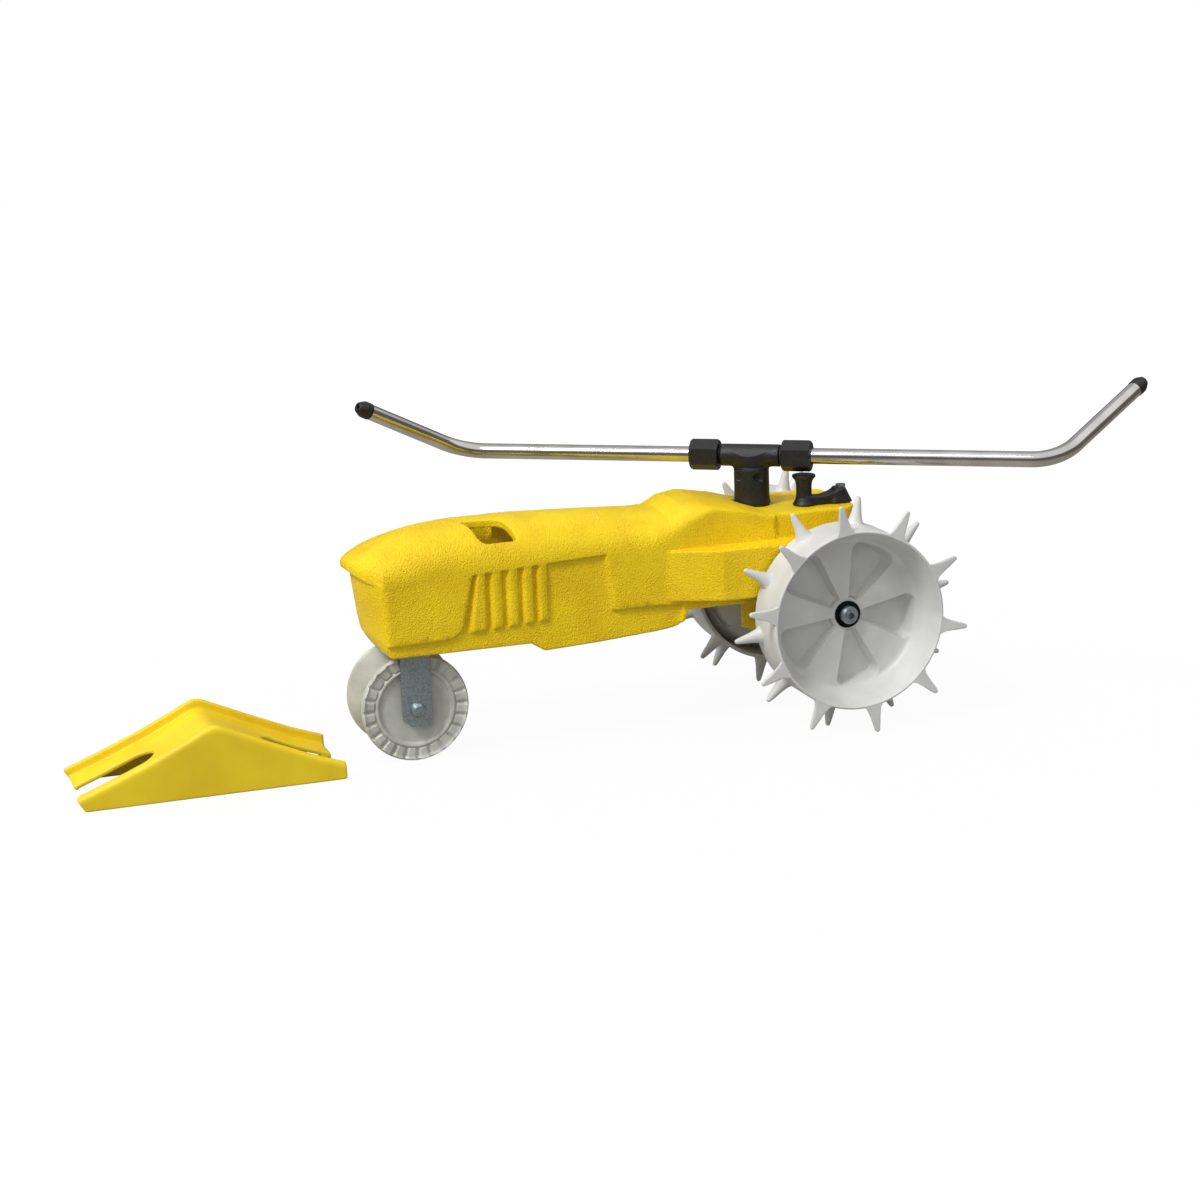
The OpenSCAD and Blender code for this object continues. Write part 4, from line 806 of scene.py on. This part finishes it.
def nozzle_cap(turn):
    """A nozzle cap: a short sleeve over the tube's end, drawn in to a blunt cone with a jet in it."""
    bend = np.radians(BEND)
    corners = [[6.35, -12], [6.85, -12], [6.85, -5.6], [4.1, 0], [1.6, 0], [1.6, -5], [6.35, -6]]
    profile = softened(corners, [0.2, 0.5, 1.2, 1.0, 0.3, 0.2, 0.2], 4)
    t = circle(ROUND)
    x = profile[:, 1:2] + 0 * t
    y, z = profile[:, :1] * np.cos(t), profile[:, :1] * np.sin(t)
    out = np.stack([REACH + TIP * np.cos(bend) + x * np.cos(bend) - z * np.sin(bend), y,
                    TIP * np.sin(bend) + x * np.sin(bend) + z * np.cos(bend)], -1)
    return on_head(out.reshape(-1, 3), turn, LEAN), woven(len(profile), ROUND, True)


def tube_nut(turn):
    """A tube nut: a hexagon with its corners turned off at both ends. Its radius is the profile's, held inside the
    hexagon by r = flats / cos(a), where a is within 30 degrees of a flat."""
    flats, steps = 11.15, 96
    corners = [[6.4, 26.1], [11.7, 26.1], [12.8, 27.3], [12.8, 48.1], [11.7, 49.4], [6.4, 49.4]]
    profile = subdivided(softened(corners, [0.2, 0.4, 0.4, 0.4, 0.4, 0.2], 4), 1.5)
    t = circle(steps)
    fold = np.abs((t + np.pi / 6) % (np.pi / 3) - np.pi / 6)
    wall = np.minimum(profile[:, :1], flats / np.cos(fold))
    points = np.stack([profile[:, 1:2] + 0 * t, wall * np.cos(t), wall * np.sin(t)], -1)
    return on_head(points.reshape(-1, 3), turn), woven(len(profile), steps, True)


def tee_distance(x, y, z):
    """The tee: a run along the arms over a barrel on the spinner, filleted into each other, with cored hollows beside a
    rib. z starts at the arms' height."""
    foot = DECK_H + 0.7 - ARM_H
    run = rod(y, z, x, 9.0, -24, 24)
    neck = rod(y, z, x, 7.8, -26, 26)
    barrel = np.hypot(x, y) - 14.2 - 0.8 * np.clip((foot + 7 - z) / 6, 0, 1)
    barrel = np.maximum(barrel, np.maximum(foot - z, z + 10))
    stem = np.maximum(np.hypot(x, y * 1.1) - 11.5, np.maximum(foot - z, z))
    body = blended(blended(run, neck, 0.5), stem, 7.0)
    body = blended(body, barrel, 1.6)
    hollow = rod(np.abs(x) - 8.6, z + 16, np.abs(y), 3.8, 8.5, 30)
    body = trimmed(body, -hollow, 1.2)
    bore = np.minimum(rod(x, y, z, 5, foot - 5, 0), rod(y, z, x, 5.2, -40, 40))
    return trimmed(body, -bore, 0.6)


def lever_distance(x, y, z):
    """The speed lever: a mushroom knob on a post that flares out at both ends, an arm and a boss with sloping sides."""
    out = np.hypot(x + 32.0, y)
    slope = np.clip(z - 1, 0, 20)
    boss = trimmed(np.abs(x + 1.6) - 8.6 + slope * 0.4, np.abs(y) - 9.0 + slope * 0.3, 3.0)
    boss = trimmed(boss, z - 12, 0.9)
    bar = trimmed(np.abs(y) - 6.8, np.abs(x + 16) - 16, 1.0)
    bar = trimmed(bar, z - 6.4 - np.clip((x + 16) / 14, 0, 1) * 4, 1.2)
    wide = np.interp(z, [0, 1.2, 3, 6, 10, 16, 19.5, 22, 22.6], [9.3, 9.0, 7.8, 6.6, 6.2, 6.3, 7.0, 8.8, 9.5])
    knob = trimmed((out - wide) * 0.85, z - 24.6, 0.9)
    body = blended(blended(boss, bar, 2.0), knob, 2.0)
    return np.maximum(np.maximum(body, -z), np.abs(y) - 9.5)


def thinned(thing, most):
    """Collapses edges of the flattest parts first, down to the given number of triangles."""
    count = sum(len(face.vertices) - 2 for face in thing.data.polygons)
    if count > most:
        fewer = thing.modifiers.new("fewer", "DECIMATE")
        fewer.ratio = most / count
        view = bpy.context.evaluated_depsgraph_get()
        mesh = bpy.data.meshes.new_from_object(thing.evaluated_get(view))
        thing.modifiers.remove(fewer)
        thing.data = mesh
    return thing


# Stage, in metres and degrees

FLOOR_HALF = 6.0
FLOOR_PAINT, FLOOR_MIRRORED = (0.34, 0.34, 0.335, 1), (1.0, 0.93, 0.82, 1)
PLAIN_SHARE = 0.9               # how much of the floor that the camera sees is plain white, and not shaded paint
SUN_STRENGTH, SUN_SPREAD, SUN_FROM = 1.9, 16, (-0.78, -0.42, 1.0)
SENSOR, LENS, NEAREST, FARTHEST = 36.0, 76.56, 0.05, 50
SIGHT_TURN, SIGHT_RISE, SIGHT_ROLL, SIGHT_LENGTH = 17.92, 13.48, -2.03, 2.0463
AIM = (162.5, 0, 105.55)        # millimetres from the front axle and the ground


def white_floor():
    """A floor that camera and transmission rays see plain white, with the object's shadow left on it. Gloss sees it
    dimmer with distance and slightly warm."""
    half = FLOOR_HALF
    corners = np.array([[-half, -half, 0], [half, -half, 0], [half, half, 0], [-half, half, 0]], float)
    floor = mesh_from("studio_floor", corners, np.array([[0, 1, 2, 3]]))
    material = bpy.data.materials.new("matt white floor")
    tree = bare_tree(material)
    paint = add(tree, "ShaderNodeBsdfDiffuse", None, {"Color": FLOOR_PAINT})
    place = add(tree, "ShaderNodeTexCoord")
    away = add(tree, "ShaderNodeVectorMath", {0: (place, "Object")}, operation="LENGTH")
    dawn = add(tree, "ShaderNodeMapRange", {"Value": (away, "Value")}, limits(0.5, 1.2, 1.06, 1.12))
    glow = add(tree, "ShaderNodeEmission", {"Strength": (dawn, "Result")})
    dusk = add(tree, "ShaderNodeMapRange", {"Value": (away, "Value")}, limits(0.3, 1.6, 0.5, 0.15))
    mirrored = add(tree, "ShaderNodeEmission", {"Strength": (dusk, "Result")}, {"Color": FLOOR_MIRRORED})
    ray = add(tree, "ShaderNodeLightPath")
    seen = add(tree, "ShaderNodeMath", {0: (ray, "Is Camera Ray"), 1: (ray, "Is Transmission Ray")},
               operation="MAXIMUM")
    share = add(tree, "ShaderNodeMath", {0: (seen, "Value")}, {1: PLAIN_SHARE}, operation="MULTIPLY")
    mix = add(tree, "ShaderNodeMixShader", {0: (share, "Value"), 1: (paint, "BSDF"), 2: (glow, "Emission")})
    mix = add(tree, "ShaderNodeMixShader", {0: (ray, "Is Glossy Ray"), 1: (mix, "Shader"), 2: (mirrored, "Emission")})
    add(tree, "ShaderNodeOutputMaterial", {"Surface": (mix, "Shader")})
    floor.data.materials.append(material)


def white_world(scene):
    """A world that camera and transmission rays see plain white. Paint is lit more from above and from the nose's side.
    Gloss sees a light box overhead, half as bright at the back, over a dim horizon."""
    scene.world = scene.world or bpy.data.worlds.new("studio")
    tree = bare_tree(scene.world)
    place = add(tree, "ShaderNodeTexCoord")
    way = add(tree, "ShaderNodeSeparateXYZ", {"Vector": (place, "Generated")})
    height = add(tree, "ShaderNodeMapRange", {"Value": (way, "Z")}, limits(-0.1, 0.95, 0.42, 0.92))
    flank = add(tree, "ShaderNodeMapRange", {"Value": (way, "X")}, limits(-1.0, 1.0, 1.45, 0.5))
    soft = add(tree, "ShaderNodeMath", {0: (height, "Result"), 1: (flank, "Result")}, operation="MULTIPLY")
    box = add(tree, "ShaderNodeMapRange", {"Value": (way, "Z")}, limits(0.32, 0.5, 0.16, 1.1))
    behind = add(tree, "ShaderNodeMapRange", {"Value": (way, "Y")}, limits(0.1, 0.4, 1.0, 0.5))
    studio = add(tree, "ShaderNodeMath", {0: (box, "Result"), 1: (behind, "Result")}, operation="MULTIPLY")
    ray = add(tree, "ShaderNodeLightPath")
    level = add(tree, "ShaderNodeMix", {"Factor": (ray, "Is Glossy Ray"), "A": (soft, "Value"), "B": (studio, "Value")},
                data_type="FLOAT")
    seen = add(tree, "ShaderNodeMath", {0: (ray, "Is Camera Ray"), 1: (ray, "Is Transmission Ray")},
               operation="MAXIMUM")
    level = add(tree, "ShaderNodeMix", {"Factor": (seen, "Value"), "A": (level, "Result")}, {"B": 1.0},
                data_type="FLOAT")
    sky = add(tree, "ShaderNodeBackground", {"Strength": (level, "Result")}, {"Color": (1, 1, 1, 1)})
    add(tree, "ShaderNodeOutputWorld", {"Surface": (sky, "Background")})


def key_light(scene):
    """One soft sun, high on the left of the view."""
    lamp = bpy.data.lights.new("key_light", "SUN")
    lamp.energy, lamp.angle = SUN_STRENGTH, math.radians(SUN_SPREAD)
    thing = bpy.data.objects.new("key_light", lamp)
    scene.collection.objects.link(thing)
    back = np.array(SUN_FROM) / np.linalg.norm(SUN_FROM)
    across = np.cross([0, 0, 1], back)
    across /= np.linalg.norm(across)
    thing.matrix_world = Matrix(np.column_stack([across, np.cross(back, across), back]).tolist()).to_4x4()


def studio_camera(scene):
    """The camera: its sight line to the aim is turned about Z and raised, and the picture is rolled about that line."""
    camera = bpy.data.cameras.new("studio_camera")
    camera.sensor_width, camera.lens = SENSOR, LENS
    camera.clip_start, camera.clip_end = NEAREST, FARTHEST
    thing = bpy.data.objects.new("studio_camera", camera)
    scene.collection.objects.link(thing)
    turn, rise, roll = np.radians([SIGHT_TURN, SIGHT_RISE, SIGHT_ROLL])
    back = np.array([-np.sin(turn) * np.cos(rise), -np.cos(turn) * np.cos(rise), np.sin(rise)])
    right = np.array([np.cos(turn), -np.sin(turn), 0])
    up = np.cross(back, right)
    right, up = right * np.cos(roll) + up * np.sin(roll), -right * np.sin(roll) + up * np.cos(roll)
    pose = np.eye(4)
    pose[:3] = np.column_stack([right, up, back, (np.array(AIM) + [FRONT_X, 0, 0]) / MM + back * SIGHT_LENGTH])
    thing.matrix_world = Matrix(pose.tolist())
    scene.camera = thing


# Operators

MOST_TRIANGLES = 190000
CARVED = {"crease": 180, "weld": False}        # a netted surface is closed and even as it is


class Piece:
    """What the operators share: each builds its pieces and raises an error if it can't."""
    bl_options = {"REGISTER", "UNDO"}

    @staticmethod
    def show(name, shape, slot, body, replaces, crease=38, weld=True, finish=None):
        """Makes a piece of a shape's points and faces. Its finish is its slot's, unless another is named."""
        points, faces = shape
        thing = thinned(mesh_from(name, points, faces), MOST_TRIANGLES)
        finished(thing, finish_for(finish or slot), body, replaces, crease, weld)


class SPRINKLER_OT_casting(Piece, bpy.types.Operator):
    """Carve the enamelled body casting"""
    bl_idname = "sprinkler.casting"
    bl_label = "Body casting"

    def execute(self, context):
        step = sizes().casting_step * MM * 1
        points, faces = netted(casting_distance, (-49, -66, -26), (REAR + 9, 66, 94), step)
        self.show("enamelled_casting", (placed(points), faces), "casting_paint", "tractor", ["body_casting"], **CARVED)
        return {"FINISHED"}


class SPRINKLER_OT_ramp(Piece, bpy.types.Operator):
    """Carve the moulded ramp"""
    bl_idname = "sprinkler.ramp"
    bl_label = "Ramp"

    def execute(self, context):
        points, faces = netted(ramp_distance, (-270, -54, -3), (-59, 42, 57), 1.2)
        points = (points + [FRONT_X, 0, 0]) / MM
        self.show("moulded_ramp", (points, faces), "ramp_plastic", "tractor", ["ramp"], **CARVED)
        return {"FINISHED"}


class SPRINKLER_OT_wheels(Piece, bpy.types.Operator):
    """Turn the two drive wheels and the front wheel"""
    bl_idname = "sprinkler.wheels"
    bl_label = "Wheels"

    def execute(self, context):
        self.show("near_drive_wheel", drive_wheel(-1), "white_plastic", "drive_axle", ["drive_wheel_left"])
        self.show("far_drive_wheel", drive_wheel(1), "white_plastic", "drive_axle", ["drive_wheel_right"])
        # The front wheel takes a greyer finish than the drive wheels, though its slot is the same white plastic:
        # painted shade.
        self.show("grooved_front_wheel", front_wheel(), "white_plastic", "front_wheel", ["front_wheel"],
                  finish="front_wheel")
        return {"FINISHED"}


class SPRINKLER_OT_fork(Piece, bpy.types.Operator):
    """Bend the front fork's strap"""
    bl_idname = "sprinkler.fork"
    bl_label = "Front fork"

    def execute(self, context):
        self.show("strap_fork", fork_strap(), "zinc_steel", "fork", ["front_fork"])
        return {"FINISHED"}


class SPRINKLER_OT_spray_head(Piece, bpy.types.Operator):
    """Draw the spray arms and mould the tee, nuts and nozzle caps"""
    bl_idname = "sprinkler.spray_head"
    bl_label = "Spray head"

    def execute(self, context):
        for word, turn, body in (("front", 0, "arm_front"), ("rear", 180, "arm_rear")):
            self.show(f"drawn_arm_{word}", spray_arm(turn), "tube_steel", body, [f"spray_arm_{word}"])
            self.show(f"nozzle_cap_{word}", nozzle_cap(turn), "black_plastic", body, [f"nozzle_{word}"])
            self.show(f"hexagon_nut_{word}", tube_nut(turn), "black_plastic", "spinner", [f"tube_nut_{word}"], 28)
        points, faces = netted(tee_distance, (-28, -18, DECK_H - ARM_H - 1), (28, 18, 12), 0.8)
        self.show("moulded_tee", (on_head(points, 0), faces), "black_plastic", "spinner", ["spray_tee"], **CARVED)
        return {"FINISHED"}


class SPRINKLER_OT_lever(Piece, bpy.types.Operator):
    """Mould the speed lever"""
    bl_idname = "sprinkler.lever"
    bl_label = "Speed lever"

    def execute(self, context):
        points, faces = netted(lever_distance, (-43, -11, -1.5), (11, 11, 26), 0.7)
        points = placed(points + [A + 21.6, -23, DECK_H + 0.5])
        self.show("moulded_lever", (points, faces), "black_plastic", "lever", ["speed_lever"], **CARVED)
        return {"FINISHED"}


class SPRINKLER_OT_frame_parts(bpy.types.Operator):
    """Finish the parts that the frame already shapes: fastenings, gears, bearings, valve and inlet"""
    bl_idname = "sprinkler.frame_parts"
    bl_label = "Gears, valve and fastenings"

    def execute(self, context):
        slots = {part["node"]: part["material_slot"] for part in frame["record"]["subparts"]}
        for name, thing in frame["nodes"].items():
            thing.data.materials.clear()
            thing.data.materials.append(finish_for(slots[name]))
        return {"FINISHED"}


class SPRINKLER_OT_stage(bpy.types.Operator):
    """Set the floor, the light and the camera"""
    bl_idname = "sprinkler.stage"
    bl_label = "Stage"

    def execute(self, context):
        context.scene.view_settings.view_transform = "Standard"
        white_floor()
        white_world(context.scene)
        key_light(context.scene)
        studio_camera(context.scene)
        return {"FINISHED"}


OPERATORS = (
    SPRINKLER_OT_stage, SPRINKLER_OT_frame_parts, SPRINKLER_OT_casting, SPRINKLER_OT_ramp, SPRINKLER_OT_wheels,
    SPRINKLER_OT_fork, SPRINKLER_OT_spray_head, SPRINKLER_OT_lever)


class SPRINKLER_PT_pieces(bpy.types.Panel):
    """The sprinkler's pieces, sizes and colours"""
    bl_idname = "SPRINKLER_PT_pieces"
    bl_label = "Travelling Sprinkler"
    bl_space_type = "VIEW_3D"
    bl_region_type = "UI"
    bl_category = "Sprinkler"

    def draw(self, context):
        """Lists the operators, then the sizes and colours."""
        for operator in OPERATORS:
            self.layout.operator(operator.bl_idname)
        for group in (context.scene.sprinkler_sizes, context.scene.sprinkler_colours):
            box = self.layout.box()
            for name in group.bl_rna.properties.keys():
                if name not in ("rna_type", "name"):
                    box.prop(group, name)


CLASSES = (SprinklerSizes, SprinklerColours, *OPERATORS, SPRINKLER_PT_pieces)


def register():
    """Registers the classes and gives the scene its sizes and colours."""
    for kind in CLASSES:
        bpy.utils.register_class(kind)
    bpy.types.Scene.sprinkler_sizes = bpy.props.PointerProperty(type=SprinklerSizes)
    bpy.types.Scene.sprinkler_colours = bpy.props.PointerProperty(type=SprinklerColours)


def unregister():
    """Takes back what register gave, in the reverse order."""
    del bpy.types.Scene.sprinkler_colours
    del bpy.types.Scene.sprinkler_sizes
    for kind in reversed(CLASSES):
        bpy.utils.unregister_class(kind)


def main():
    """Registers the add-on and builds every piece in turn."""
    register()
    for operator in OPERATORS:
        name = operator.bl_idname.split(".")[1]
        getattr(bpy.ops.sprinkler, name)()


if __name__ == "__main__":
    main()
